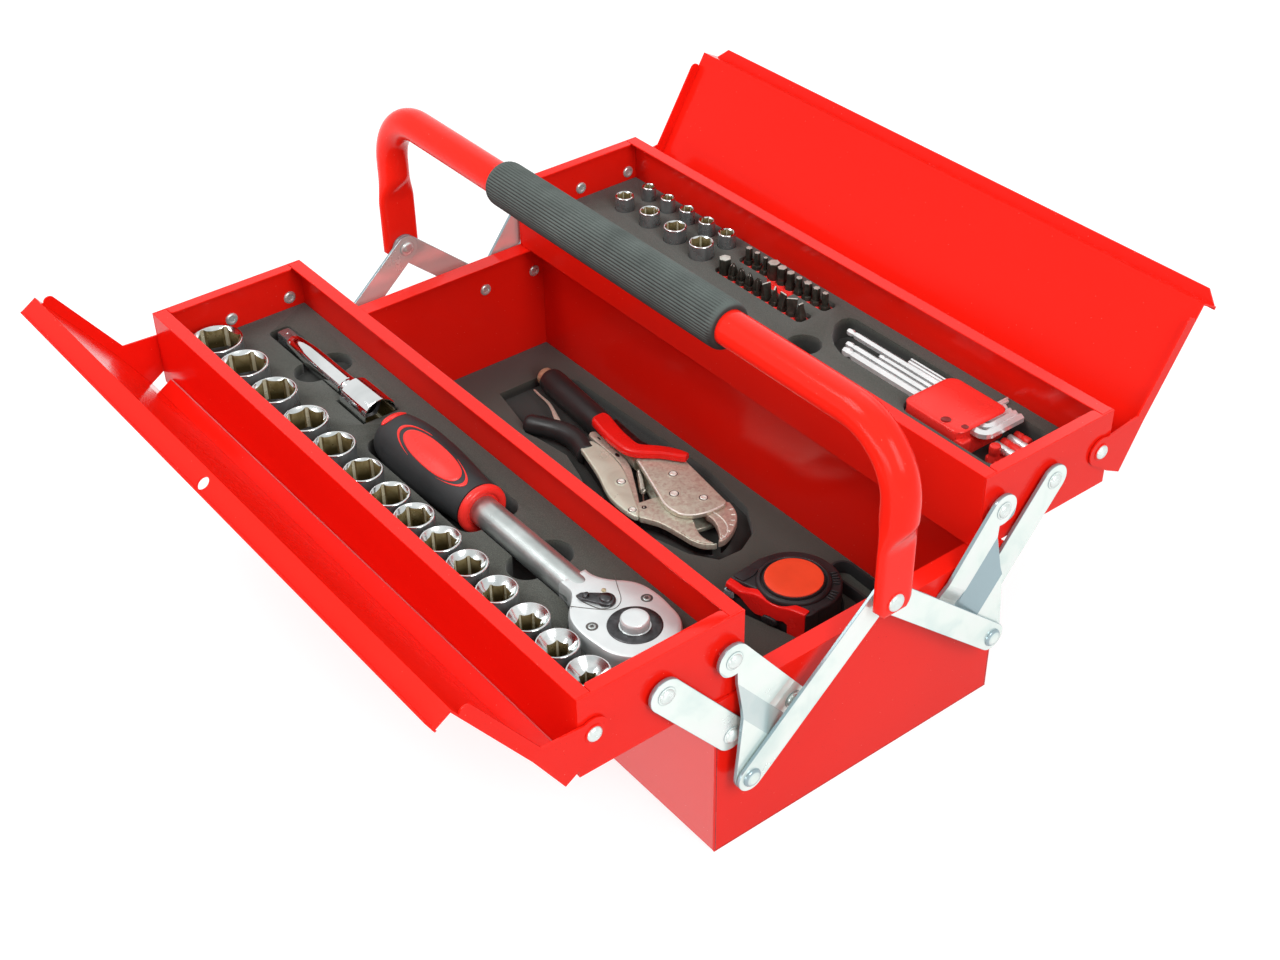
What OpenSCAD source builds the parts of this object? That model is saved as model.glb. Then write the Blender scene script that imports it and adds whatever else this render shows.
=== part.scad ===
// Cantilever tool box: a folded steel box that carries two trays on parallel
// straps, a lid on each tray and a lifting handle that swings both trays.
// Millimetres, +Z up. The origin is at the middle of the box's underside,
// +X points to the right end and -Y to the front tray. Drawn with both trays
// and both lids open.

/* [Box] */
// Length of the box over its end panels
box_len = 404; // [390:1:430]
// Width of the box
box_w = 190; // [180:1:210]
// Height of the box rim
box_h = 100; // [92:1:120]
// Sheet steel thickness
sheet = 1; // [0.8:0.1:1.2]
// Inward flange along the top of each end panel
box_end_flange = 10; // [6:0.5:14]
// Inward flange along the top of each long wall
box_side_flange = 8; // [5:0.5:12]
// Thickness of the foam on the box floor
box_foam_h = 19; // [16:0.5:26]

/* [Trays] */
// How much shorter each tray is than the box
tray_short = 3; // [2:0.5:5]
// Width of each tray
tray_w = 94; // [88:1:100]
// Height of each tray
tray_h = 46.2; // [42:0.2:56]
// Air between the box rim and the tray floors
tray_air = 0.3; // [0.3:0.1:1]
// Air between the two trays when they are shut
meet_gap = 1; // [0.6:0.2:2]
// Inward flange along the top of each long tray wall
tray_side_flange = 8; // [5:0.5:10]
// Inward flange along the top of each tray end
tray_end_flange = 6; // [4:0.5:8]
// Thickness of the foam on each tray floor
tray_foam_h = 17; // [14:0.5:20]

/* [Swing linkage] */
// Sideways reach of a tray strap, half of the tray's travel
swing_reach = 38.6; // [36:0.2:41]
// Rise of a tray strap from its box rivet to its tray rivet
swing_rise = 47.7; // [42:0.3:52]
// Distance between the two straps of one tray
strap_spacing = 38.2; // [36:0.2:42]
// Crank rivet's distance from the tray's inner face
tray_pivot_in = 10; // [10:0.2:12]
// Strap rivets' height above the tray floor
tray_pivot_up = 24.7; // [22:0.3:28]
// Thickness of the plated straps
strap_t = 2; // [1.5:0.1:2]
// Width of the short tray links
tray_link_w = 18; // [15:0.5:20]
// Crank arm's sideways reach from its box rivet
arm_out = 31.5; // [30:0.5:33]
// Crank arm's drop from its box rivet
arm_down = 26.5; // [25:0.5:28]
// Width of the lift links
lift_link_w = 16; // [14:0.5:18]
// Thickness of the lift links
lift_link_t = 1.8; // [1.4:0.1:1.8]
// Diameter of the strap rivets
rivet_d = 5; // [4:0.2:5.4]
// Diameter of the rivet heads
rivet_head_d = 10; // [8:0.5:10]

/* [Handle] */
// Height of the handle bar's centre line, handle down
bar_z = 213.5; // [200:0.5:225]
// Height of the rivet that joins the handle to its lift links
handle_pivot_z = 121.5; // [118:0.5:125]
// Diameter of the handle tube
tube_d = 19; // [18:0.5:20]
// Wall of the handle tube
tube_wall = 1.2; // [1:0.1:2]
// Bend radius of the handle tube, at its centre line
bend_r = 35; // [30:1:40]
// Width of the flattened tube ends
flat_w = 24; // [22:0.5:26]
// Thickness of the flattened tube ends
flat_t = 5; // [4:0.2:5]
// Length of the foam grip
grip_len = 192; // [150:2:230]
// Diameter of the foam grip
grip_d = 26; // [24:0.5:30]

/* [Lids] */
// Opening angle of the front lid
front_lid_open = 122.4; // [110:0.2:124]
// Opening angle of the rear lid
rear_lid_open = 118; // [110:0.2:124]
// Lid rivet's distance from the tray's outer face
lid_pivot_in = 7.5; // [7:0.1:8.5]
// Lid rivet's height above the tray floor
lid_pivot_up = 23.7; // [22:0.1:25]
// Length of the flat part of the lid, from its outer edge to the crease
lid_flat = 30; // [24:0.5:36]
// Slope of the rest of the lid, in degrees
lid_slope = 3.3; // [1:0.1:4]
// Diameter of the padlock holes in the lid lips
lock_hole_d = 7; // [5:0.5:8]

/* [Half-inch drive tools] */
// Outer diameters of the sockets in the front tray
large_socket_d = [30, 28, 26, 25, 23, 21, 21, 21, 21, 21, 21, 21, 21, 21]; // [20:0.5:31]
// Gaps between neighbouring sockets
large_socket_gap = [3, 7, 9, 6, 7, 5, 1.5, 3, 2.5, 4, 4.5, 2, 2.5]; // [1:0.5:9]
// Hexagon sizes of the same sockets
large_socket_hex = [24, 22, 21, 19, 18, 17, 16, 15, 14, 13, 12, 11, 10, 8]; // [8:0.5:24]
// Height of the sockets above the foam
socket_up = 11; // [8:0.5:13]
// Length of the ratchet
ratchet_len = 235.5; // [225:0.5:240]
// Diameter of the ratchet shaft
ratchet_shaft_d = 16; // [14:0.5:17]
// Diameter of the round end of the ratchet head
ratchet_head_d = 44; // [40:0.5:44]
// Diameter of the extension bar
extension_d = 13; // [11:0.5:14]
// Length of the extension bar
extension_len = 82; // [75:1:88]

/* [Quarter-inch drive tools] */
// Outer diameters of the sockets in the outer row of the rear tray
outer_row_d = [9, 9.5, 10, 10.5, 11]; // [8:0.5:13]
// Outer diameters of the sockets in the inner row
inner_row_d = [12, 13, 14.5, 15.5]; // [10:0.5:17]
// Height of these sockets above the foam
small_socket_up = 9; // [6:0.5:11]
// Bits in each row
bits_per_row = 10; // [6:1:10]
// Height of the bits above the foam
bit_up = 10; // [7:0.5:12]

/* [Hand tools] */
// Height of the measuring tape's case
tape_h = 34; // [28:1:38]
// Radius of the measuring tape's round back
tape_r = 27; // [25:0.5:28]
// Thickness of the locking pliers' jaw plates
pliers_t = 14; // [11:0.5:16]

/* [Hidden] */
$fn = 48;

paint = "#e61a10";
zinc = "#c9ced1";
rubber = "#262a29";
foam = "#454643";
chrome = "#c4c8cc";
plastic = "#d8201c";

// Clearances
pin_air = 0.1;       // round a rivet in the hole that turns on it
face_air = 0.15;     // between a turning strap and a rivet head
layer_air = 0.4;     // between two straps that pass each other
fit_air = 0.3;       // round a part that sits in foam or between walls

// Box
end_in = box_len / 2 - sheet;
side_in = box_w / 2 - sheet;
box_foam_top = sheet + box_foam_h;

// Trays, as y of the front one; the rear one is its mirror
tray_end_out = (box_len - tray_short) / 2;
tray_end_in = tray_end_out - sheet;
tray_floor = box_h + tray_air;
tray_top = tray_floor + tray_h;
tray_inner_y = -(meet_gap / 2 + 2 * swing_reach);
tray_outer_y = tray_inner_y - tray_w;
tray_mid_y = (tray_inner_y + tray_outer_y) / 2;
tray_foam_low = tray_floor + sheet;
tray_foam_top = tray_foam_low + tray_foam_h;

// Rivets, as [y, z] on the front side
pivot_tray_crank = [tray_inner_y - tray_pivot_in, tray_floor + tray_pivot_up];
pivot_tray_link = pivot_tray_crank - [strap_spacing, 0];
pivot_box_crank = pivot_tray_crank + [swing_reach, -swing_rise];
pivot_box_link = pivot_box_crank - [strap_spacing, 0];
pivot_arm = pivot_box_crank - [arm_out, arm_down];
pivot_handle = [0, handle_pivot_z];
pivot_lid = [tray_outer_y + lid_pivot_in, tray_floor + lid_pivot_up];

// Layers of the linkage, as x of their inner faces on the right end
strap_x = box_len / 2 + layer_air;
crank_x = strap_x + 1.2;
head_h = 2;
front_arm_x = strap_x + strap_t + face_air + head_h + layer_air + 0.65;
front_lift_x = front_arm_x + strap_t + layer_air;
rear_arm_x = front_arm_x + strap_t + 0.2;
rear_lift_x = rear_arm_x + strap_t + layer_air;
flat_x = rear_lift_x + lift_link_t + layer_air;
leg_x = flat_x + flat_t / 2;

// ---------------------------------------------------------------- helpers

function unit(v) = v / norm(v);
function left_of(v) = [-v[1], v[0]];
function sum(v) = v * [for (x = v) 1];
// Point i of a line of points, moved by t to its left with a mitre
function moved(p, i, t) =
    let (
        last = len(p) - 1,
        before = unit(i > 0 ? p[i] - p[i - 1] : p[1] - p[0]),
        after = unit(i < last ? p[i + 1] - p[i] : p[last] - p[last - 1])
    )
    p[i] + (left_of(before) + left_of(after)) * t / (1 + before * after);
// Outline of a sheet of thickness t that is folded along a line of points
function folded(p, t) = concat(p, [for (i = [len(p) - 1:-1:0]) moved(p, i, t)]);

// Extrudes a drawing in (y, z) along x
module along_x(from, to) {
    translate([from, 0, 0]) rotate([90, 0, 90]) linear_extrude(to - from) children();
}
module left() { mirror([1, 0, 0]) children(); }
module rear() { mirror([0, 1, 0]) children(); }
module both_ends() {
    children();
    left() children();
}
module both_sides() {
    children();
    rear() children();
}
// A rod along x at [y, z]
module rod_x(from, to, at, r) {
    translate([from, at[0], at[1]]) rotate([0, 90, 0]) cylinder(h = to - from, r = r);
}
// A domed rivet head that grows along +x from a face
module rivet_head(x, at, r, h) {
    translate([x, at[0], at[1]]) rotate([0, 90, 0]) {
        cylinder(h = h * 0.45, r = r);
        translate([0, 0, h * 0.45]) cylinder(h = h * 0.35, r1 = r, r2 = r * 0.82);
        translate([0, 0, h * 0.8]) cylinder(h = h * 0.2, r1 = r * 0.82, r2 = r * 0.5);
    }
}
// A rivet through a panel from panel_in to panel_out, with a collar up to the
// strap and a head on the strap's outer face
module strap_rivet(at, panel_in, panel_out, strap_in, strap_out) {
    rod_x(panel_in, strap_out + face_air, at, rivet_d / 2);
    rod_x(panel_out, strap_in - face_air, at, rivet_d * 0.9);
    rivet_head(strap_out + face_air, at, rivet_head_d / 2, head_h);
    left() rivet_head(-panel_in, at, rivet_d * 0.75, sheet * 1.4);
}
// A block given by its corners
module block(from, to) {
    translate(from) cube(to - from);
}
// A flat outline: two circles and the straight strip between them
module strip(from, to, r) {
    side = left_of(unit(to - from)) * r;
    polygon([from - side, to - side, to + side, from + side]);
    translate(from) circle(r);
    translate(to) circle(r);
}
// A rectangle with round corners, given by two opposite corners
module round_rect(from, to, r) {
    block2(from + [r, 0], to - [r, 0]);
    block2(from + [0, r], to - [0, r]);
    for (x = [from[0] + r, to[0] - r], y = [from[1] + r, to[1] - r]) translate([x, y]) circle(r);
}
module block2(from, to) {
    translate(from) square(to - from);
}

// ---------------------------------------------------------------- box

module box_body() color(paint) {
    w = box_w / 2;
    along_x(-end_in, end_in) polygon(folded([
        [-w + box_side_flange, box_h], [-w, box_h], [-w, 0], [w, 0], [w, box_h], [w - box_side_flange, box_h]
    ], sheet));
}
module box_end() color(paint) {
    flange_y = box_w / 2 - box_side_flange - fit_air;
    difference() {
        along_x(end_in, box_len / 2) block2([-box_w / 2, 0], [box_w / 2, box_h]);
        both_sides() for (p = [pivot_box_crank, pivot_box_link]) {
            rod_x(end_in - 1, box_len / 2 + 1, p, rivet_d / 2);
        }
    }
    translate([0, 0, box_h - sheet]) linear_extrude(sheet) {
        round_rect([end_in - box_end_flange, -flange_y], [end_in, flange_y], 3);
        block2([end_in - 4, -flange_y], [end_in + sheet / 2, flange_y]);
    }
}
module box_rivets() color(zinc) both_ends() both_sides() {
    for (p = [pivot_box_crank, pivot_box_link]) {
        strap_rivet(p, end_in, box_len / 2, strap_x, strap_x + strap_t);
    }
}

// ---------------------------------------------------------------- trays

module tray_body() color(paint) {
    along_x(-tray_end_in, tray_end_in) polygon(folded([
        [tray_outer_y + tray_side_flange, tray_top], [tray_outer_y, tray_top], [tray_outer_y, tray_floor],
        [tray_inner_y, tray_floor], [tray_inner_y, tray_top], [tray_inner_y - tray_side_flange, tray_top]
    ], sheet));
}
module tray_end() color(paint) {
    flange_from = tray_outer_y + tray_side_flange + fit_air;
    flange_to = tray_inner_y - tray_side_flange - fit_air;
    difference() {
        along_x(tray_end_in, tray_end_out) block2([tray_outer_y, tray_floor], [tray_inner_y, tray_top]);
        for (p = [pivot_tray_crank, pivot_tray_link, pivot_lid]) {
            rod_x(tray_end_in - 1, tray_end_out + 1, p, rivet_d / 2);
        }
    }
    translate([0, 0, tray_top - sheet]) linear_extrude(sheet) {
        round_rect([tray_end_in - tray_end_flange, flange_from], [tray_end_in, flange_to], 2);
        block2([tray_end_in - 3, flange_from], [tray_end_in + sheet / 2, flange_to]);
    }
}
module tray_rivets() color(zinc) both_ends() {
    strap_rivet(pivot_tray_crank, tray_end_in, tray_end_out, crank_x, crank_x + strap_t);
    strap_rivet(pivot_tray_link, tray_end_in, tray_end_out, strap_x, strap_x + strap_t);
    strap_rivet(pivot_lid, tray_end_in, tray_end_out, box_len / 2 - sheet, box_len / 2);
}

// ---------------------------------------------------------------- lids

// The lid is drawn shut, with its rivet at [0, 0] and the panel running
// towards +y, and is then turned open about the rivet.
lid_edge_y = -(lid_pivot_in + 2.8);
lid_clear = 1;
lid_z = norm([lid_pivot_in, tray_h - lid_pivot_up]) + lid_clear + sheet;
lid_crease = [lid_edge_y + lid_flat, lid_z];
lid_mid = -(pivot_lid[0] + 2 * swing_reach);
lid_tab_r = 8.5;
lid_rim = 7;
lip_front = [lid_mid - 4, 10, 3.5];
lip_rear = [lid_mid - 0.5, 12.2, 8];
lock_hole_up = 5;

function lid_top(y) = lid_z + max(0, y - lid_crease[0]) * tan(lid_slope);

module lid(open, lip) color(paint) {
    // lip holds the y of the lip's outer face, its height and its return flange's width
    lip_base = [lip[0], lid_top(lip[0])];
    lip_top = lip_base + [0, lip[1]];
    stop_tilt = 180 - open;
    flap_low = (lid_pivot_in + fit_air - lid_edge_y * cos(stop_tilt)) / sin(stop_tilt);
    flap_x = box_len / 2 - 12;
    rim_end = lid_crease[0] + 56;
    end_x = box_len / 2;
    translate([0, pivot_lid[0], pivot_lid[1]]) rotate([open, 0, 0]) difference() {
        union() {
            along_x(-end_x, end_x)
                polygon(folded([lip_top, lip_base, lid_crease, [lid_edge_y, lid_z]], sheet));
            along_x(-flap_x, flap_x) block2([lid_edge_y, flap_low], [lid_edge_y + sheet, lid_z]);
            translate([0, 0, lip_top[1] - sheet]) linear_extrude(sheet) polygon([
                [-end_x, lip[0] - sheet], [end_x, lip[0] - sheet], [end_x, lip[0]],
                [end_x - lip[2], lip[0] + lip[2]], [lip[2] - end_x, lip[0] + lip[2]], [-end_x, lip[0]]
            ]);
            both_ends() along_x(end_x - sheet, end_x) {
                circle(lid_tab_r);
                polygon([
                    [-lid_tab_r, 0], [lid_edge_y, lid_tab_r * 1.6], [lid_edge_y, lid_z], lid_crease,
                    [rim_end, lid_top(rim_end)], [rim_end, lid_top(rim_end) - lid_rim],
                    lid_crease + [2, -lid_rim], [lid_tab_r, 0]
                ]);
                translate([rim_end, lid_top(rim_end) - lid_rim / 2]) circle(lid_rim / 2);
            }
        }
        rod_x(-end_x - 1, end_x + 1, [0, 0], rivet_d / 2 + pin_air);
        translate([0, lip[0] - sheet / 2, lid_top(lid_mid) + lock_hole_up]) rotate([90, 0, 0])
            cylinder(h = 4 * sheet, d = lock_hole_d, center = true);
    }
}

// ---------------------------------------------------------------- linkage

// The crank: one plate from the tray rivet past the box rivet to the arm, with
// the arm stepped outward past the short link and the box lobe stepped inward.
module crank(arm_x) color(zinc) {
    tray_at = pivot_tray_crank - pivot_box_crank;
    arm_at = pivot_arm - pivot_box_crank;
    tray_lobe = 9;
    box_lobe = 7.5;
    arm_lobe = 8;
    along = unit(-tray_at);
    out = left_of(along);
    away = -out;
    step_from = 8;
    step_to = 20;
    box_step_from = 16;
    box_step_to = 9;
    slant = atan2(along[1], along[0]);
    notch_r = 6.2;
    notch_at = [-3.5, -13];
    waist = [-35.5, 16];
    x0 = crank_x;
    translate([0, pivot_box_crank[0], pivot_box_crank[1]]) difference() {
        union() {
            // Everything but the box lobe: flat beside the tray rivet, then stepped out to the arm
            intersection() {
                along_x(strap_x, arm_x + strap_t + 1) difference() {
                    crank_outline(
                        tray_at, arm_at, out, tray_lobe, box_lobe, arm_lobe, notch_at, notch_r, waist
                    );
                    rotate(slant) block2([-box_step_from, -step_from], [40, 40]);
                }
                rotate([slant, 0, 0]) translate([0, 100, 0]) rotate([90, 0, 0])
                linear_extrude(200) polygon(folded([
                    [x0 + strap_t, 60], [x0 + strap_t, -step_from], [arm_x + strap_t, -step_to],
                    [arm_x + strap_t, -80]
                ], -strap_t));
            }
            // The box lobe, stepped in to the end panel
            intersection() {
                along_x(strap_x - 1, x0 + strap_t + 1) intersection() {
                    crank_outline(
                        tray_at, arm_at, out, tray_lobe, box_lobe, arm_lobe, notch_at, notch_r, waist
                    );
                    rotate(slant) block2([-box_step_from, -step_from], [40, 40]);
                }
                rotate([slant, 0, 0]) translate([0, 0, -100]) linear_extrude(200) polygon(folded([
                    [x0, -40], [x0, -box_step_from], [strap_x, -box_step_to], [strap_x, 40]
                ], -strap_t));
            }
        }
        rod_x(strap_x - 2, arm_x, tray_at, rivet_d / 2 + pin_air);
        rod_x(strap_x - 2, arm_x, [0, 0], rivet_d / 2 + pin_air);
    }
}
module crank_outline(tray_at, arm_at, out, tray_lobe, box_lobe, arm_lobe, notch_at, notch_r, waist) {
    translate(tray_at) circle(tray_lobe);
    circle(box_lobe);
    translate(arm_at) circle(arm_lobe);
    difference() {
        polygon([
            tray_at + out * tray_lobe, out * box_lobe, [0, -box_lobe], notch_at,
            arm_at + unit([0.8, -0.6]) * arm_lobe, arm_at - [arm_lobe, 0], waist,
            [waist[0] - 1.2, tray_at[1] - tray_lobe * 0.8], tray_at - out * tray_lobe
        ]);
        translate(notch_at) circle(notch_r);
    }
}
// A short link: it holds the tray level
module tray_link() color(zinc) difference() {
    along_x(strap_x, strap_x + strap_t) strip(pivot_tray_link, pivot_box_link, tray_link_w / 2);
    for (p = [pivot_tray_link, pivot_box_link]) {
        rod_x(strap_x - 1, strap_x + strap_t + 1, p, rivet_d / 2 + pin_air);
    }
}
// A lift link: it ties the crank's arm to the handle, with the arm rivet's head on it
module lift_link(x) color(zinc) {
    difference() {
        along_x(x, x + lift_link_t) strip(pivot_arm, pivot_handle, lift_link_w / 2);
        rod_x(x - 1, x + lift_link_t + 1, pivot_handle, rivet_d * 0.6 + pin_air);
    }
    rivet_head(x + lift_link_t, pivot_arm, rivet_head_d / 2, head_h);
}

// ---------------------------------------------------------------- handle

flat_top = handle_pivot_z + 30;
round_from = handle_pivot_z + 50;
flat_low = handle_pivot_z - 7.5;

module tube_ring() {
    difference() {
        circle(d = tube_d);
        circle(d = tube_d - 2 * tube_wall);
    }
}
module handle_tube() color(paint) {
    bar_end = leg_x - bend_r;
    corner = 6;
    bend_z = bar_z - bend_r;
    translate([-bar_end, 0, bar_z]) rotate([0, 90, 0]) linear_extrude(2 * bar_end) tube_ring();
    both_ends() {
        translate([bar_end, 0, bend_z]) rotate([90, 0, 0]) rotate_extrude(angle = 90)
            translate([bend_r, 0]) tube_ring();
        translate([leg_x, 0, round_from]) linear_extrude(bend_z - round_from) tube_ring();
        // From the round tube down to the flattened end
        hull() {
            translate([leg_x, 0, round_from - 0.5]) cylinder(h = 0.5, d = tube_d, $fn = 32);
            flattened(flat_top, flat_top + 0.5);
        }
        difference() {
            intersection() {
                flattened(flat_low, flat_top);
                along_x(flat_x - 1, flat_x + flat_t + 1) polygon([
                    [-flat_w / 2, flat_top + 1], [-flat_w / 2, flat_low + corner],
                    [corner - flat_w / 2, flat_low], [flat_w / 2 - corner, flat_low],
                    [flat_w / 2, flat_low + corner], [flat_w / 2, flat_top + 1]
                ]);
            }
            rod_x(flat_x - 1, flat_x + flat_t + 1, pivot_handle, rivet_d * 0.6);
        }
    }
}
// The tube squeezed flat: a slab with round long edges
module flattened(from, to) {
    side = flat_w / 2 - flat_t / 2;
    translate([0, 0, from]) linear_extrude(to - from) {
        block2([flat_x, -side], [flat_x + flat_t, side]);
        for (y = [-side, side]) translate([leg_x, y]) circle(flat_t / 2, $fn = 24);
    }
}
module handle_grip() color(rubber) {
    edge = 2;
    translate([-grip_len / 2, 0, bar_z]) rotate([0, 90, 0]) rotate_extrude() polygon([
        [tube_d / 2 + 0.1, 0], [grip_d / 2 - edge, 0], [grip_d / 2, edge],
        [grip_d / 2, grip_len - edge], [grip_d / 2 - edge, grip_len], [tube_d / 2 + 0.1, grip_len]
    ]);
}
module handle_rivets() color(zinc) both_ends() {
    rod_x(front_lift_x - face_air, flat_x + flat_t, pivot_handle, rivet_d * 0.6);
    rivet_head(flat_x + flat_t, pivot_handle, rivet_head_d * 0.6, head_h);
    left() rivet_head(-front_lift_x + face_air, pivot_handle, rivet_head_d / 2, head_h * 0.7);
}

// ---------------------------------------------------------------- front tray contents

// Every tool is placed from the tray's middle line and its foam top
socket_len = tray_foam_h + socket_up - 1;
socket_row_y = tray_mid_y - 21;
// The sockets' gaps and the spare length of the tool row share what the tray has
socket_stretch = (2 * tray_end_in - sum(large_socket_d)) / 78;
ratchet_y = tray_mid_y + 14.8;
ratchet_z = tray_foam_top + 1;
plug_d = 21;
plug_len = 27;
row_spare = 2 * tray_end_in - (extension_len - 2 + plug_len + ratchet_len);
extension_x0 = -tray_end_in + row_spare * 0.407;
plug_x0 = extension_x0 + extension_len - 2;
ratchet_x0 = plug_x0 + plug_len + row_spare * 0.3186;
ratchet_head_at = [ratchet_x0 + ratchet_len - ratchet_head_d / 2 - 1, ratchet_y];
ratchet_head_top = tray_foam_top + 9.7;
ratchet_head_h = 24;
grip_r_max = 17;
grip_end = ratchet_x0 + 90;
neck_x = ratchet_head_at[0] - 42;
extension_y = tray_mid_y + 19;
extension_z = tray_foam_top + 0.3;

// Distance from the first socket's axis to that of socket i
function socket_run(i) = i == 0 ? 0 :
    socket_run(i - 1) + (large_socket_d[i - 1] + large_socket_d[i]) / 2
        + large_socket_gap[i - 1] * socket_stretch;
function socket_x(i) = socket_run(i) - socket_run(len(large_socket_d) - 1) / 2 - 3 * socket_stretch;

module hex_hole(size, depth) {
    cylinder(h = depth, d = size / cos(30), $fn = 6);
}
// A socket standing on its drive end, its hexagon up
module socket(d, size, length) {
    difference() {
        union() {
            cylinder(h = length - 0.8, d = d);
            translate([0, 0, length - 0.8]) cylinder(h = 0.8, d1 = d, d2 = d - 1.2);
        }
        translate([0, 0, length * 0.4]) hex_hole(min(size, d - 4), length);
    }
}
module front_tray_foam() color(foam) difference() {
    block(
        [fit_air - tray_end_in, tray_outer_y + sheet + fit_air, tray_foam_low],
        [tray_end_in - fit_air, tray_inner_y - sheet - fit_air, tray_foam_top]
    );
    for (i = [0:len(large_socket_d) - 1]) {
        translate([socket_x(i), socket_row_y, tray_foam_low + 1])
            cylinder(h = tray_foam_h, d = large_socket_d[i] + 2 * fit_air);
    }
    // The ratchet's recess, with a finger notch on each side of its shaft
    translate([0, 0, ratchet_head_top - ratchet_head_h - fit_air]) linear_extrude(ratchet_head_h) {
        ratchet_head_outline(fit_air + 0.5);
    }
    translate([0, 0, ratchet_z - grip_r_max - fit_air]) linear_extrude(tray_foam_h) {
        round_rect([ratchet_x0 - 2, ratchet_y - 18], [grip_end + 9, ratchet_y + 18], 9);
        block2([grip_end, ratchet_y - 9], [neck_x + 4, ratchet_y + 9]);
        translate([grip_end + 46.5, ratchet_y]) {
            translate([0, 7.2]) circle(11);
            translate([0, -7.2]) circle(11);
        }
    }
    // The extension bar's recess, and the socket's on its end
    translate([0, 0, extension_z - extension_d / 2 - fit_air]) linear_extrude(tray_foam_h) {
        round_rect([extension_x0 - 6, extension_y - 7], [plug_x0 + 4, extension_y + 7], 3);
        translate([extension_x0 + 45.5, extension_y + 7]) circle(10.6);
        translate([extension_x0 + 45.5, extension_y - 7]) circle(10.6);
    }
    translate([0, 0, extension_z - plug_d / 2 - fit_air]) linear_extrude(tray_foam_h)
        block2(
            [plug_x0 - 1, extension_y - plug_d / 2 - 1],
            [plug_x0 + plug_len + 1, extension_y + plug_d / 2 + 1]
        );
}
module large_sockets() color(chrome) for (i = [0:len(large_socket_d) - 1]) {
    translate([socket_x(i), socket_row_y, tray_foam_low + 1 + fit_air])
        socket(large_socket_d[i], large_socket_hex[i], socket_len);
}
module extension_bar() color(chrome) translate([extension_x0, extension_y, extension_z]) rotate([0, 90, 0]) {
    tip = 11;
    tip_side = 9;
    translate([0, 0, tip / 2]) cube([tip_side, tip_side, tip], center = true);
    translate([0, 0, tip]) cylinder(h = 20, d1 = tip_side, d2 = extension_d);
    translate([0, 0, tip + 20]) cylinder(h = extension_len - tip - 20 - 8, d = extension_d);
    translate([0, 0, extension_len - 8]) cylinder(h = 6, d = tip_side);
}
module plug_socket() color(chrome)
translate([plug_x0 + fit_air, extension_y, extension_z]) rotate([0, 90, 0]) {
    difference() {
        cylinder(h = plug_len, d = plug_d);
        translate([0, 0, plug_len * 0.5]) hex_hole(16, plug_len);
    }
}
// The head seen from above: half widths between the shaft's and the round end's
head_flare = [[-42, 0], [-37, 0.12], [-33, 0.34], [-28.4, 0.69], [-20, 0.96], [-9.5, 1.04], [0, 1]];
module ratchet_head_outline(air) {
    r = ratchet_head_d / 2 + air;
    neck = ratchet_shaft_d / 2 + 0.5 + air;
    edge = [for (p = head_flare) [p[0], neck + (r - neck) * p[1]]];
    translate(ratchet_head_at) {
        circle(r);
        polygon(concat([for (p = edge) [p[0], -p[1]]], [for (i = [len(edge) - 1:-1:0]) edge[i]]));
    }
}
module ratchet_body() color(chrome) {
    button_hole = 7.4;
    difference() {
        union() {
            translate([0, 0, ratchet_head_top - ratchet_head_h]) linear_extrude(ratchet_head_h - 2)
                ratchet_head_outline(0);
            translate([0, 0, ratchet_head_top - 2]) linear_extrude(2) ratchet_head_outline(-1);
        }
        // The hole that the quick-release button slides in, and the lever's seat
        translate([ratchet_head_at[0], ratchet_y, ratchet_head_top - 7]) cylinder(h = 9, r = button_hole);
    }
    translate([grip_end - 1, ratchet_y, ratchet_z]) rotate([0, 90, 0])
        cylinder(h = neck_x - grip_end + 6, d = ratchet_shaft_d);
}
module ratchet_grip() color(rubber) translate([ratchet_x0, ratchet_y, ratchet_z]) rotate([0, 90, 0])
    rotate_extrude() polygon([
        [0, 0], [9, 0], [13, 3], [grip_r_max - 1.7, 10], [grip_r_max, 24], [grip_r_max, 42],
        [grip_r_max - 1.5, 62], [grip_r_max - 3.5, 78], [grip_r_max - 3.5, 84], [0, 84]
    ]);
module ratchet_trim() color(plastic) {
    translate([ratchet_x0 + 84, ratchet_y, ratchet_z]) rotate([0, 90, 0]) cylinder(h = 5, r = 14);
}
cover_r = 13;
button_r = 7;
lever_at = [ratchet_head_at[0] - 22, ratchet_y];
module ratchet_cover() color("#3a3d40") {
    translate([ratchet_head_at[0], ratchet_y, ratchet_head_top]) difference() {
        cylinder(h = 1, r = cover_r);
        translate([0, 0, -1]) cylinder(h = 3, r = button_r + 0.4);
    }
    for (y = [-16, 16]) translate([ratchet_head_at[0] - 11.6, ratchet_y + y, ratchet_head_top])
        cylinder(h = 0.5, r = 2.6);
}
module ratchet_button() color(chrome) translate([ratchet_head_at[0], ratchet_y, ratchet_head_top - 4]) {
    cylinder(h = 8.4, r = button_r);
    translate([0, 0, 8.4]) cylinder(h = 0.6, r1 = button_r, r2 = button_r - 0.6);
}
module ratchet_lever() color("#6a6e72") translate([lever_at[0], lever_at[1], ratchet_head_top + 0.3]) {
    linear_extrude(1.6) strip([0, 0], [-8.5, -7], 3);
    cylinder(h = 2.6, r = 4.6);
}

// ---------------------------------------------------------------- box contents

// The locking pliers lie on their side in the box foam
pliers_mid = box_foam_top + 2.7;
grip_r = 9;
grip_from = [-151, 65.8];
grip_to = [-104, 61.3];

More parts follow.
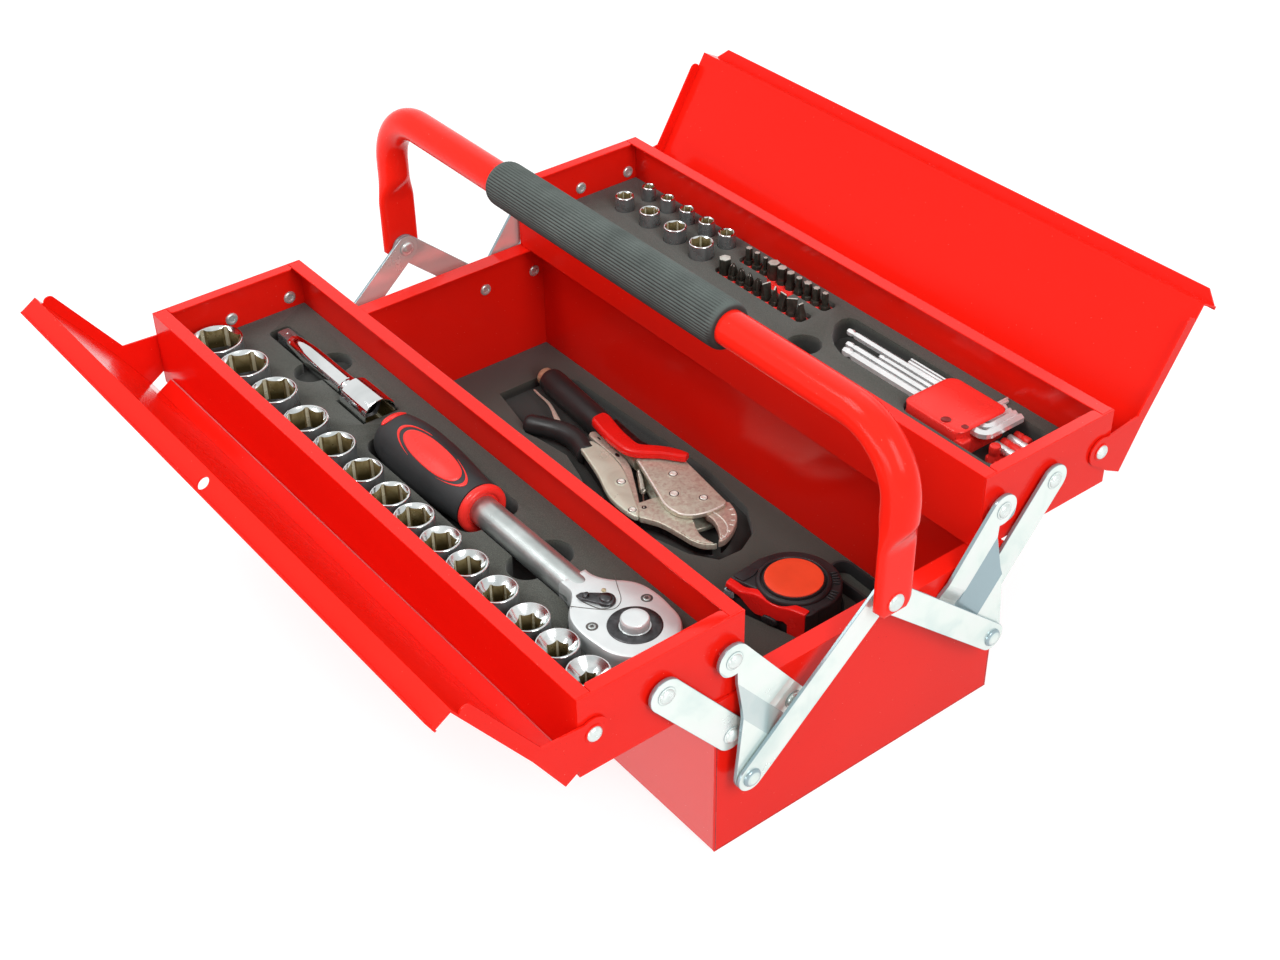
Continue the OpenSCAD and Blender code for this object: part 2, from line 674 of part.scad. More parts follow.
module box_foam() color(foam) difference() {
    block([fit_air - end_in, fit_air - side_in, sheet], [end_in - fit_air, side_in - fit_air, box_foam_top]);
    translate([0, 0, pliers_mid - grip_r - fit_air]) linear_extrude(box_foam_h) pliers_recess_outline();
    translate([0, 0, tape_low - fit_air]) linear_extrude(tape_h) tape_place() tape_outline(1.5);
}
module pliers_recess_outline() {
    polygon([
        [-169, 34], [-134, 27], [-124, 22], [-112, 25], [-88, 28], [-66, 22], [-46, 14], [-22, 10], [0, 10],
        [12, 20], [34, 26], [49, 36], [50, 52], [42, 68], [22, 80], [-20, 86], [-150, 82], [-169, 72]
    ]);
}
// The fixed handle: a round steel shell that the adjusting screw enters
module pliers_fixed_handle() color("#b9b4a8") {
    translate([0, 0, pliers_mid]) hull() {
        translate([-86.5, 60, 0]) sphere(r = 8, $fn = 20);
        translate([-52, 58, 0]) sphere(r = 7, $fn = 20);
    }
    translate([0, 0, pliers_mid - pliers_t / 2]) linear_extrude(pliers_t) polygon([
        [-64, 51], [-47.5, 50], [-6.7, 37.2], [4, 35.7], [13.4, 38.4], [19.6, 51.1], [20.6, 63.1],
        [19.2, 66.5], [-28, 73], [-60, 66]
    ]);
}
module pliers_moving_handle() color("#c5bfb0")
translate([0, 0, pliers_mid - grip_r]) linear_extrude(14) polygon([
    [-80.4, 33], [-50.9, 25], [-31.6, 17.8], [-20.3, 16.5], [-5.2, 17.3], [-4.5, 19.6], [-20.5, 28.4],
    [-45.9, 40.6], [-66.4, 44.2], [-80.4, 43.4]
]);
module pliers_fixed_jaw() color("#b9b4a8") translate([0, 0, pliers_mid - 5]) linear_extrude(10) polygon([
    [20.4, 50.9], [26, 51.2], [33.5, 48.8], [39.5, 44.7], [43.2, 40.5], [43.9, 46], [37.8, 57.3],
    [29.8, 65.4],
    [21.2, 67.3]
]);
module pliers_moving_jaw() color("#b9b4a8") translate([0, 0, pliers_mid - 5]) linear_extrude(9) polygon([
    [-14.8, 26.6], [-3.6, 20.4], [5.7, 25], [23.7, 28.4], [36.4, 31.2], [42.6, 36.6], [42.9, 39.2],
    [37.8, 36.3],
    [28, 37.1], [17.2, 42.6], [14.3, 37.7], [4.2, 34.9], [-7, 36.5], [-14, 35.8]
]);
module pliers_grips() color(rubber) {
    translate([0, 0, pliers_mid]) hull() {
        translate(grip_from) sphere(r = grip_r, $fn = 24);
        translate(grip_to) sphere(r = grip_r, $fn = 24);
    }
    translate([0, 0, pliers_mid - 1]) hull() {
        translate([-88, 38.5, 0]) sphere(r = 7, $fn = 20);
        translate([-104, 40.5, 0]) sphere(r = 7, $fn = 20);
    }
    translate([0, 0, pliers_mid - 1]) hull() {
        translate([-104, 40.5, 0]) sphere(r = 7, $fn = 20);
        translate([-128, 30.5, 0]) sphere(r = 5.5, $fn = 20);
    }
}
module pliers_release() color(plastic) translate([0, 0, pliers_mid + 8.2]) linear_extrude(4.6) polygon([
    [-90.4, 50], [-80.7, 46.8], [-64.3, 45.7], [-48.2, 46.2], [-43.9, 47.7], [-35.4, 61.9], [-23.7, 70.1],
    [-27.6, 74.8], [-42.7, 70.8], [-52.1, 57.6], [-69.6, 58.9], [-90, 62.3], [-93.7, 61.2], [-95, 54.5]
]);
module pliers_screw() color("#c9a97c")
translate([grip_from[0] - grip_r - 7.2, grip_from[1] + 0.6, pliers_mid])
    rotate([0, 90, 0]) cylinder(h = 7, r = 6);

// The measuring tape stands on its side beside the pliers
tape_at = [104, 43];
tape_turn = 16;
tape_low = sheet + 4;
tape_top = tape_low + tape_h;
tape_base = -21;
label_r = 16.5;

module tape_place() {
    translate([tape_at[0], tape_at[1]]) rotate(tape_turn) children();
}
module tape_outline(grow) {
    difference() {
        circle(tape_r + grow);
        block2([-tape_r - 4, -tape_r - 4], [tape_r + 4, tape_base - grow]);
    }
    polygon([
        [-tape_r - 3 - grow, tape_base - grow], [tape_r - 6, tape_base - grow], [tape_r + grow, -4],
        [0, tape_r * 0.6], [-tape_r * 0.93 - grow, tape_r * 0.3], [-tape_r - 3 - grow, tape_base + 10]
    ]);
}
module tape_case() color(rubber) tape_place() translate([0, 0, tape_low]) {
    linear_extrude(tape_h - 3) difference() {
        tape_outline(0);
        block2([-tape_r - 9, tape_base - 1], [tape_r - 6.7, tape_base + 4]);
    }
    translate([0, 0, tape_h - 3]) intersection() {
        cylinder(h = 3, r1 = tape_r, r2 = label_r + 4);
        linear_extrude(3) block2([-tape_r - 1, tape_base + 0.4], [tape_r + 1, tape_r + 1]);
    }
}
module tape_bumper() color(plastic) tape_place() translate([0, 0, tape_low + 1]) linear_extrude(tape_h - 4) {
    difference() {
        block2([-tape_r - 3, tape_base], [tape_r - 7, tape_base + 4]);
        block2([-18, tape_base - 1], [8, tape_base + 2]);
    }
}
module tape_label() color(plastic) tape_place() translate([0, 0, tape_top]) {
    cylinder(h = 0.6, r = label_r);
}
module tape_lock() color(rubber) tape_place() translate([0, 0, tape_low + 16]) linear_extrude(9) {
    block2([-8, tape_base - 2.6], [4, tape_base + 1.8]);
}
module tape_hook() color(zinc) tape_place() translate([0, 0, tape_low + 10]) linear_extrude(16) {
    block2([-tape_r - 4.5, tape_base - 1], [-tape_r - 3.3, tape_base + 9]);
}
// The wrist strap: a loop of webbing on edge behind the tape
module tape_strap() color(rubber) translate([0, 0, box_foam_top + 0.2]) linear_extrude(8) difference() {
    r = 8;
    y = tape_at[1] + tape_r + r + 0.2;
    ends = [[tape_at[0] + 2.5, y], [tape_at[0] + 42, y]];
    strip(ends[0], ends[1], r);
    strip(ends[0], ends[1], r - 1.6);
}

// ---------------------------------------------------------------- rear tray contents

// Drawn on the front side and mirrored, as the tray itself is
outer_row_y = tray_mid_y - 34;
inner_row_y = tray_mid_y - 14.3;
outer_row_pitch = 19.4;
inner_row_pitch = 25.6;
small_row_x0 = -170;
small_socket_len = tray_foam_h + small_socket_up - 1;
bit_row_y = [outer_row_y + 1, inner_row_y + 0.5];
bit_pitch = 7.6;
bit_x0 = -70;
bit_slot = [bit_x0 - 5, bit_x0 + bit_pitch * (bits_per_row - 1) + 5];
bit_d = 6.35;
// The hexagon keys lie flat in their holder, their short arms towards the tray's outer wall
key_slot_low = tray_foam_low + 4;
key_slot_end_x = 172;
key_z = tray_foam_top + 1.2;
hex_holder_x = [102, 144.4];
hex_holder_y = [tray_mid_y - 32.7, tray_mid_y + 5.7];
hex_holder_top = key_z + 4.1;
key_air = 0.3;
// Each key: distance from the tray's middle line, size, where its long arm starts,
// where its short arm lies and how far out the short arm reaches
keys = [
    [7.5, 5, 41.5, 150.6, 35.6], [13.4, 4, 38, 145.9, 36.3], [18.5, 3, 59.5, 142.2, 36.3],
    [23.2, 4, 28.5, 138.5, 36.3], [27.3, 2, 74, 135.3, 41.7], [30.1, 1.5, 73, 133.4, 43.6]
];
// A smaller clip of keys lies beyond them: its bars, each with distance, size, length and height
clip_x = 152;
clip_lugs = [[30.8, 5, 11], [20.6, 5.4, 17]];
clip_keys = [[25.7, 4.6, 17], [15.1, 5.2, 17]];
clip_post = [157.5, tray_mid_y - 8.8, 3.2];
clip_z = key_slot_low + 6;

module rear_tray_foam() color(foam) difference() {
    block(
        [fit_air - tray_end_in, tray_outer_y + sheet + fit_air, tray_foam_low],
        [tray_end_in - fit_air, tray_inner_y - sheet - fit_air, tray_foam_top]
    );
    small_socket_places() translate([0, 0, -fit_air]) cylinder(h = tray_foam_h, d = $d + 2 * fit_air);
    for (y = bit_row_y) translate([0, 0, tray_foam_low + 3]) linear_extrude(tray_foam_h)
        round_rect([bit_slot[0], y - 5.5], [bit_slot[1], y + 5.5], 3);
    translate([0, 0, tray_foam_low + 3]) linear_extrude(tray_foam_h)
        block2([-47, bit_row_y[0] + 4], [-23, bit_row_y[0] + 12]);
    translate([22, tray_mid_y + 5, tray_foam_low + 4]) cylinder(h = tray_foam_h, r = 10.5);
    translate([0, 0, key_slot_low - fit_air]) linear_extrude(tray_foam_h) {
        translate([0, tray_mid_y]) polygon([
            [21.8, -36.6], [110, -36.6], [110, -5.1], [42, -5.1], [34, -7.9], [24.5, -14.1], [17.5, -23.3],
            [15.8, -30.3], [17.5, -34.8]
        ]);
        round_rect([hex_holder_x[0] - 2, tray_mid_y - 36.6], [key_slot_end_x, hex_holder_y[1] + 1.5], 8);
    }
}
// Places a child at each quarter-inch socket, with its diameter in $d
module small_socket_places() {
    for (i = [0:len(outer_row_d) - 1]) {
        $d = outer_row_d[i];
        translate([small_row_x0 + i * outer_row_pitch, outer_row_y, tray_foam_low + 1 + fit_air]) children();
    }
    for (i = [0:len(inner_row_d) - 1]) {
        $d = inner_row_d[i];
        translate([small_row_x0 + i * inner_row_pitch, inner_row_y, tray_foam_low + 1 + fit_air]) children();
    }
}
module small_sockets() color(chrome) small_socket_places() socket($d, $d - 3, small_socket_len);

module bit_holders() color(plastic) for (y = bit_row_y) {
    translate([0, 0, tray_foam_low + 3 + fit_air]) difference() {
        linear_extrude(tray_foam_h - 5.5)
            round_rect([bit_slot[0] + fit_air, y - 5], [bit_slot[1] - fit_air, y + 5], 3);
        for (i = [0:bits_per_row - 1]) translate([bit_x0 + i * bit_pitch, y, 2])
            cylinder(h = tray_foam_h, d = bit_d + 0.4);
    }
    if (y == bit_row_y[0]) translate([0, 0, tray_foam_low + 3 + fit_air]) linear_extrude(tray_foam_h - 5.5)
        block2([-46.5, y + 5], [-23.5, y + 11.5]);
}
module driver_bits() color("#4a463f") for (y = bit_row_y, i = [0:bits_per_row - 1]) {
    translate([bit_x0 + i * bit_pitch, y, tray_foam_low + 5 + 2 * fit_air]) {
        cylinder(h = tray_foam_h - 6, d = bit_d, $fn = 6);
        translate([0, 0, tray_foam_h - 6]) cylinder(h = bit_up - 1, d1 = bit_d - 1, d2 = bit_d - 3, $fn = 6);
    }
}
module hex_holder() color(plastic) {
    translate([0, 0, key_slot_low]) difference() {
        linear_extrude(hex_holder_top - key_slot_low)
            round_rect([hex_holder_x[0], hex_holder_y[0]], [hex_holder_x[1], hex_holder_y[1]], 4);
        for (k = keys) translate([0, tray_mid_y - k[0], key_z - key_slot_low]) {
            translate([hex_holder_x[0] - 1, 0, 0]) rotate([0, 90, 0])
                cylinder(h = hex_holder_x[1] - hex_holder_x[0] + 2, d = k[1] + 2 * key_air);
            // Room for the short arm where it starts under the holder's top
            translate([k[3], 0, 0]) block(
                [-k[1] / 2 - key_air, hex_holder_y[0] - tray_mid_y + k[0] - 1, -k[1] / 2 - key_air],
                [12, k[1] / 2 + key_air, k[1] / 2 + key_air]
            );
        }
        translate([130.7, tray_mid_y + 1.6, hex_holder_top - key_slot_low - 3]) cylinder(h = 4, r = 2.9);
    }
    translate([0, 0, key_slot_low]) linear_extrude(3.6)
        block2([clip_x + 1, tray_mid_y - 31.3], [clip_x + 17, tray_mid_y - 6.3]);
    for (b = clip_lugs) translate([clip_x, tray_mid_y - b[0], clip_z]) rotate([0, 90, 0])
        cylinder(h = b[2], d = b[1]);
    translate([clip_post[0], clip_post[1], key_slot_low]) cylinder(h = 12, r = clip_post[2]);
}
module hex_keys() color(chrome) {
    for (k = keys) {
        translate([k[2], tray_mid_y - k[0], key_z]) rotate([0, 90, 0])
            cylinder(h = k[3] + k[1] / 2 - k[2], d = k[1], $fn = 6);
        translate([k[3], tray_mid_y - k[0] + k[1] / 2, key_z]) rotate([90, 0, 0])
            cylinder(h = k[4] - k[0] + k[1] / 2, d = k[1], $fn = 6);
    }
    for (b = clip_keys) translate([clip_x, tray_mid_y - b[0], clip_z + 0.3]) rotate([0, 90, 0])
        cylinder(h = b[2], d = b[1]);
}

// ---------------------------------------------------------------- nodes

box_body();
box_end();  // box_end_right
left() box_end();  // box_end_left
box_rivets();
box_foam();
tray_body();  // front_tray_body
tray_end();  // front_tray_end_right
left() tray_end();  // front_tray_end_left
tray_rivets();  // front_tray_rivets
front_tray_foam();
rear() tray_body();  // rear_tray_body
rear() tray_end();  // rear_tray_end_right
left() rear() tray_end();  // rear_tray_end_left
rear() tray_rivets();  // rear_tray_rivets
rear() rear_tray_foam();
lid(front_lid_open, lip_front);  // front_lid
rear() lid(rear_lid_open, lip_rear);  // rear_lid
crank(front_arm_x);  // front_crank_right
left() crank(front_arm_x);  // front_crank_left
rear() crank(rear_arm_x);  // rear_crank_right
left() rear() crank(rear_arm_x);  // rear_crank_left
tray_link();  // front_tray_link_right
left() tray_link();  // front_tray_link_left
rear() tray_link();  // rear_tray_link_right
left() rear() tray_link();  // rear_tray_link_left
lift_link(front_lift_x);  // front_lift_link_right
left() lift_link(front_lift_x);  // front_lift_link_left
rear() lift_link(rear_lift_x);  // rear_lift_link_right
left() rear() lift_link(rear_lift_x);  // rear_lift_link_left
handle_tube();
handle_grip();
handle_rivets();
large_sockets();
plug_socket();
extension_bar();
ratchet_body();
ratchet_grip();
ratchet_trim();
ratchet_cover();
ratchet_lever();
ratchet_button();
pliers_fixed_handle();
pliers_moving_handle();
pliers_fixed_jaw();
pliers_moving_jaw();
pliers_grips();
pliers_release();
pliers_screw();
tape_case();
tape_bumper();
tape_label();
tape_lock();
tape_hook();
tape_strap();
rear() small_sockets();
rear() bit_holders();
rear() driver_bits();
rear() hex_holder();
rear() hex_keys();
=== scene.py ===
"""Looks of the cantilever tool box: detailed pieces, materials, light and camera."""
import math

import bmesh
import bpy
from mathutils import Matrix, Vector


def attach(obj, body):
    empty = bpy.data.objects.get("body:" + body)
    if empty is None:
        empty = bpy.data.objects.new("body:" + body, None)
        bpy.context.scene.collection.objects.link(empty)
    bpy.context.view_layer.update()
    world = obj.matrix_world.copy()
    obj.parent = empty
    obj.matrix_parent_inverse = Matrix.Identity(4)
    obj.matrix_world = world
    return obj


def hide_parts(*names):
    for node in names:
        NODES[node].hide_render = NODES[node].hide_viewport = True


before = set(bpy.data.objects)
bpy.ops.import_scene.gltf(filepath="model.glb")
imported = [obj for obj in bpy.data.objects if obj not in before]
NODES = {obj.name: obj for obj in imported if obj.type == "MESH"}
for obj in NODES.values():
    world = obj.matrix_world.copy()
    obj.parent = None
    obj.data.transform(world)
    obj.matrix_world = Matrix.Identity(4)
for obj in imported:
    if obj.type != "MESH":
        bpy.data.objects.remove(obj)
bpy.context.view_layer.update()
MM = 0.001
TAU = 2 * math.pi
WELD = 2e-6
OPEN, FOOT, HEAD = (False, False), (True, False), (False, True)  # the ends of a loft that get a cap


# ---- mesh helpers, in millimetres


def corners(p):
    """Each point of a closed outline with its neighbours."""
    return [(Vector(p[i - 1]), Vector(p[i]), Vector(p[(i + 1) % len(p)])) for i in range(len(p))]


def offset(p, d):
    """A counter-clockwise outline moved inward by d."""
    out = []
    for a, b, c in corners(p):
        u, v = (b - a).normalized(), (c - b).normalized()
        out.append(b + Vector((-u.y - v.y, u.x + v.x)) * (d / max(1 + u.dot(v), 0.35)))
    return out


def fillet(p, r, n=5):
    """The outline with its corners rounded to radius r, or to one radius each."""
    out = []
    for i, (a, b, c) in enumerate(corners(p)):
        q = r[i] if isinstance(r, list) else r
        u, v = (a - b).normalized(), (c - b).normalized()
        ang = u.angle(v)
        if q <= 0 or ang > 3.0:
            out.append(b)
            continue
        t = min(q / math.tan(ang / 2), 0.48 * (a - b).length, 0.48 * (c - b).length)
        q = t * math.tan(ang / 2)
        mid = b + (u + v).normalized() * (q / math.sin(ang / 2))
        s, e = b + u * t - mid, b + v * t - mid
        out += [mid + (s * (1 - k / n) + e * (k / n)).normalized() * q for k in range(n + 1)]
    return out


def flow(p, n=5, closed=True):
    """A smooth curve through the points."""
    p = [Vector(q) for q in p]
    ends = [p[-1], *p, p[0], p[1]] if closed else [p[0], *p, p[-1]]
    out = []
    for a, b, c, d in zip(ends, ends[1:], ends[2:], ends[3:]):
        for t in (k / n for k in range(n)):
            bow, twist = 2 * a - 5 * b + 4 * c - d, 3 * b - a - 3 * c + d
            out.append(0.5 * (2 * b + (c - a) * t + bow * t * t + twist * t ** 3))
    return out if closed else out + [p[-1]]


def ring(r, n=48, z=0.0):
    return [(r * math.cos(TAU * k / n), r * math.sin(TAU * k / n), z) for k in range(n)]


def upright_ring(x, y, z, r, n):
    """A circle that faces along X."""
    return [(x, y + u, z + v) for u, v, _ in ring(r, n)]


def wavy(radii):
    """A ring with a radius of its own at each point."""
    return [(r * u, r * v) for r, (u, v, _) in zip(radii, ring(1, len(radii)))]


def arc(x, y, r, angles):
    return [(x + r * math.cos(math.radians(a)), y + r * math.sin(math.radians(a))) for a in angles]


def capsule(a, b, ra, rb, n=12):
    """Outline round two circles, counter-clockwise."""
    a, b = Vector(a), Vector(b)
    base = math.atan2(*(b - a).normalized().yx)
    out = []
    for mid, r, s in ((b, rb, base - math.pi / 2), (a, ra, base + math.pi / 2)):
        turns = [s + math.pi * k / n for k in range(n + 1)]
        out += [mid + Vector((math.cos(a), math.sin(a))) * r for a in turns]
    return out


def ease(t):
    t = max(0.0, min(1.0, t))
    return t * t * (3 - 2 * t)


def between(rows, t):
    """The value at t in rows of (place, value)."""
    for (a, va), (b, vb) in zip(rows, rows[1:]):
        if a <= t <= b:
            return va + (vb - va) * (t - a) / (b - a)
    return rows[-1][1]


def heading(path, i):
    """The path's direction at its point i."""
    return (path[min(i + 1, len(path) - 1)] - path[max(i - 1, 0)]).normalized()


def place(at=(0, 0, 0), turn=0.0, axis="Z"):
    return Matrix.Translation(at) @ Matrix.Rotation(math.radians(turn), 4, axis)


class Shape:
    """Collects vertices and faces in millimetres, and makes one piece of them."""

    def __init__(self):
        self.v, self.f, self.m = [], [], []

    def loft(self, rings, mat=0, at=None, caps=(True, True), loop=True, wrap=False):
        """A skin over rings of as many points each; wrap joins the last ring to the first."""
        n, count, first = len(rings[0]), len(rings), len(self.v)
        faces = []
        for i in range(count if wrap else count - 1):
            low, high = i * n, (i + 1) % count * n
            for k in range(n if loop else n - 1):
                q = (k + 1) % n
                faces.append([low + k, low + q, high + q, high + k])
        if caps[0]:
            faces.append(list(range(n))[::-1])
        if caps[1]:
            faces.append([(count - 1) * n + k for k in range(n)])
        self.v += [tuple(at @ Vector(p)) if at else tuple(p) for r in rings for p in r]
        self.f += [[first + i for i in f] for f in faces]
        self.m += [mat] * len(faces)

    def lathe(self, profile, mat=0, at=None, n=48, caps=(True, True)):
        """profile holds (radius, height) pairs; a run closes on the axis with a cap."""
        self.loft([ring(max(r, 1e-3), n, z) for r, z in profile], mat, at, caps)

    def rod(self, y, z, rows, mat=0, n=48):
        """A round bar along X; rows holds (x, radius) pairs."""
        self.loft([upright_ring(x, y, z, r, n) for x, r in rows], mat)

    def terrace(self, outline, rows, mat=0, at=None, caps=(True, True), wrap=False):
        """The outline lofted through rows of (inset, height)."""
        self.loft([[(*p, z) for p in offset(outline, inset)] for inset, z in rows], mat, at, caps, wrap=wrap)

    def plate(self, outline, low, high, bevel=0.5, mat=0, at=None, n=3):
        """An outline raised from low to high, with round edges."""
        outline = [Vector(p[:2]) for p in outline]
        if sum(outline[i - 1].x * q.y - q.x * outline[i - 1].y for i, q in enumerate(outline)) < 0:
            outline.reverse()
        turns = [k / n * math.pi / 2 for k in range(n + 1)]
        edge = [(bevel * (1 - math.sin(a)), bevel * (1 - math.cos(a))) for a in turns]
        rows = [(d, low + h) for d, h in edge] + [(d, high - h) for d, h in edge[::-1]]
        self.terrace(outline, rows, mat, at)

    def tube(self, path, radius, mat=0, at=None, n=16):
        """A tube along a path; radius may be a number or one number a point."""
        path = [Vector(p) for p in path]
        rings, side = [], None
        for i, p in enumerate(path):
            d = heading(path, i)
            if side is None:
                side = d.orthogonal().normalized()
            side = (side - d * side.dot(d)).normalized()
            up = d.cross(side)
            r = radius[i] if isinstance(radius, list) else radius
            rings.append([p + side * u + up * v for u, v, _ in ring(r, n)])
        self.loft(rings, mat, at)

    def piece(self, name, mats, body, replaces=(), angle=35):
        me = bpy.data.meshes.new(name)
        me.from_pydata([(x * MM, y * MM, z * MM) for x, y, z in self.v], [], self.f)
        me.polygons.foreach_set("material_index", self.m)
        bm = bmesh.new()
        bm.from_mesh(me)
        bmesh.ops.remove_doubles(bm, verts=bm.verts, dist=WELD)
        bmesh.ops.dissolve_degenerate(bm, edges=bm.edges, dist=1e-7)
        bmesh.ops.recalc_face_normals(bm, faces=bm.faces)
        return finish_piece(name, me, bm, mats, angle, body, replaces)


def finish_piece(name, me, bm, mats, angle, body, replaces):
    """Gives a mesh its smooth faces, materials and place in the frame."""
    bm.to_mesh(me)
    bm.free()
    me.polygons.foreach_set("use_smooth", [True] * len(me.polygons))
    me.set_sharp_from_angle(angle=math.radians(angle))
    for mat in mats:
        me.materials.append(mat)
    obj = bpy.data.objects.new(name, me)
    bpy.context.scene.collection.objects.link(obj)
    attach(obj, body)
    if replaces:
        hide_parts(*replaces)
    return obj


# ---- materials


def add_node(tree, kind, inputs, **settings):
    """A shader node; inputs maps its sockets to values or to the outputs of other nodes."""
    node = tree.nodes.new("ShaderNode" + kind)
    for key, value in settings.items():
        setattr(node, key, value)
    for key, value in inputs.items():
        if isinstance(value, bpy.types.NodeSocket):
            tree.links.new(value, node.inputs[key])
        else:
            node.inputs[key].default_value = value
    return node


def shade(color, k):
    return tuple(c * k for c in color)


class Surface:
    """A procedural material built round one Principled shader; textures use object coordinates in metres."""

    def __init__(self, name, color, rough, metallic=0.0, **sockets):
        self.mat = bpy.data.materials.new(name)
        self.mat.use_nodes = True
        self.tree = self.mat.node_tree
        self.shader = self.tree.nodes["Principled BSDF"].inputs
        sockets.update(Base_Color=(*color, 1), Roughness=rough, Metallic=metallic)
        for key, value in sockets.items():
            self.shader[key.replace("_", " ")].default_value = value
        self.coords = self.add("TexCoord", {}).outputs

    def add(self, kind, inputs, **settings):
        return add_node(self.tree, kind, inputs, **settings)

    def link(self, socket, value):
        self.tree.links.new(value, self.shader[socket])

    def noise(self, scale, detail=3.0, stretch=None, distort=0.0, rough=0.5):
        where = self.coords["Object"]
        if stretch:
            where = self.add("Mapping", {"Vector": where, "Scale": stretch}).outputs["Vector"]
        inputs = dict(Vector=where, Scale=scale, Detail=detail, Roughness=rough, Distortion=distort)
        return self.add("TexNoise", inputs).outputs["Fac"]

    def cells(self, scale):
        return self.add("TexVoronoi", {"Vector": self.coords["Object"], "Scale": scale}).outputs["Distance"]

    def along(self, axis, source="Object"):
        """How far along an axis a point lies, or its Normal points."""
        return self.add("SeparateXYZ", {0: self.coords[source]}).outputs[axis]

    def calc(self, operation, *values):
        return self.add("Math", dict(enumerate(values)), operation=operation).outputs[0]

    def ramp(self, fac, *stops):
        node = self.add("ValToRGB", {"Fac": fac})
        el = node.color_ramp.elements
        while len(el) < len(stops):
            el.new(0.5)
        for e, (pos, col) in zip(el, stops):
            e.position, e.color = pos, (col if isinstance(col, tuple) else (col,) * 3) + (1,)
        return node.outputs["Color"]

    def blend(self, fac, a, b, **settings):
        a, b = (c + (1,) if isinstance(c, tuple) else c for c in (a, b))
        return self.add("Mix", {0: fac, 6: a, 7: b}, data_type="RGBA", **settings).outputs[2]

    def span(self, fac, low, high, start=0.3, end=0.7):
        inputs = {"Value": fac, "From Min": start, "From Max": end, "To Min": low, "To Max": high}
        return self.add("MapRange", inputs).outputs["Result"]

    def rough(self, fac, low, high):
        self.link("Roughness", self.span(fac, low, high))

    def bump(self, height, distance, strength=1.0):
        old = self.shader["Normal"].links
        below = {"Normal": old[0].from_socket} if old else {}
        inputs = {"Distance": distance * MM, "Strength": strength, "Height": height, **below}
        self.link("Normal", self.add("Bump", inputs).outputs["Normal"])


def paint(name, base, wax=None):
    """Glossy enamel: a clear coat on faces that look up, and on the wall before wax, a y in metres."""
    s = Surface(name, base, 0.26, Specular_IOR_Level=0.12, Coat_Roughness=0.12)
    coat = s.span(s.along("Z", "Normal"), 0.0, 0.3, 0.9, 0.99)
    if wax:
        coat = s.calc("MAXIMUM", coat, s.span(s.along("Y"), 1.0, 0.0, wax, wax + 0.001))
    s.link("Coat Weight", coat)
    cloud = s.ramp(s.noise(9, 4), (0.3, shade(base, 0.95)), (0.62, base))
    speck = s.ramp(s.noise(1300, 2), (0.72, 0.0), (0.78, 1.0))
    dust = s.ramp(s.cells(200), (0.03, 1.0), (0.05, 0.0))
    tone = s.blend(speck, cloud, shade(base, 0.6))
    s.link("Base Color", s.blend(dust, tone, (0.90, 0.16, 0.13)))
    s.rough(s.noise(34, 5, rough=0.65), 0.12, 0.2)
    s.bump(s.noise(13, 2), 0.6, 0.25)
    s.bump(s.noise(520, 2), 0.035, 0.5)
    return s.mat


def metal(
    name, tones, rough, scale, scratch=0.01, metallic=1.0, grain=(40, 900, 900), smudge=30, bend=None,
    deep=None
):
    """Clouded, scratched metal; bend paints shade on the faces off the X direction, and deep paints shade on
    what is below it.
    """
    s = Surface(name, tones[0], sum(rough) / 2, metallic)
    stops = [(0.3 + 0.4 * i / (len(tones) - 1), t) for i, t in enumerate(tones)]
    tone = s.ramp(s.noise(scale, 3, distort=0.6), *stops)
    # painted shade: faces that slope off the X direction, at the cranks' bends, take the darker bend tone
    if bend:
        side = s.calc("ABSOLUTE", s.along("X", "Normal"))
        tone = s.blend(s.span(side, 1.0, 0.0, 0.9, 0.99), tone, bend)
    # painted shade: below deep, in metres, the tone darkens over 9 mm to a third
    if deep:
        tone = s.blend(s.span(s.along("Z"), 1.0, 0.0, deep - 0.009, deep), tone, shade(tones[0], 0.3))
    s.link("Base Color", tone)
    s.rough(s.noise(smudge, 6, rough=0.7), *rough)
    s.bump(s.noise(1, 2, stretch=grain), scratch, 0.6)
    return s.mat


def rubber(name, tone, rough, grain, depth, underside_shade=None):
    """Dull rubber; its last argument is a painted shade, the tone of what doesn't look up."""
    s = Surface(name, tone, 0.55, Specular_IOR_Level=0.4)
    skin = s.ramp(s.noise(35, 4), (0.3, shade(tone, 0.8)), (0.7, shade(tone, 1.35)))
    # painted shade: faces that don't look up take the darker tone
    if underside_shade:
        skin = s.blend(s.span(s.along("Z", "Normal"), 1.0, 0.0, -0.1, 0.92), skin, underside_shade)
    s.link("Base Color", skin)
    s.rough(s.noise(90, 4), *rough)
    s.bump(s.noise(grain, 3), depth, 0.7)
    return s.mat


def foam(name, tone, top):
    """Closed-cell foam; its cut walls and floors, below top in metres, are painted with shade darker than its
    face.
    """
    s = Surface(name, tone, 0.95, Specular_IOR_Level=0.18, Sheen_Weight=0.25, Sheen_Roughness=0.6)
    speckle = ((0.32, shade(tone, 0.55)), (0.5, tone), (0.72, shade(tone, 1.9)))
    grain = s.ramp(s.noise(1900, 2, rough=0.7), *speckle)
    patch = s.ramp(s.noise(16, 4), (0.3, 0.82), (0.7, 1.0))
    face = s.blend(1.0, grain, patch, blend_type="MULTIPLY")
    # painted shade: the tone darkens down the cut walls into the recesses
    cut = s.span(s.along("Z"), 1.0, 0.0, top - 0.0045, top - 0.0012)
    s.link("Base Color", s.blend(cut, face, shade(tone, 0.3)))
    s.rough(s.noise(60, 3), 0.86, 1.0)
    s.bump(s.cells(2400), 0.12, 0.45)
    s.bump(s.noise(1500, 3), 0.1, 0.5)
    return s.mat


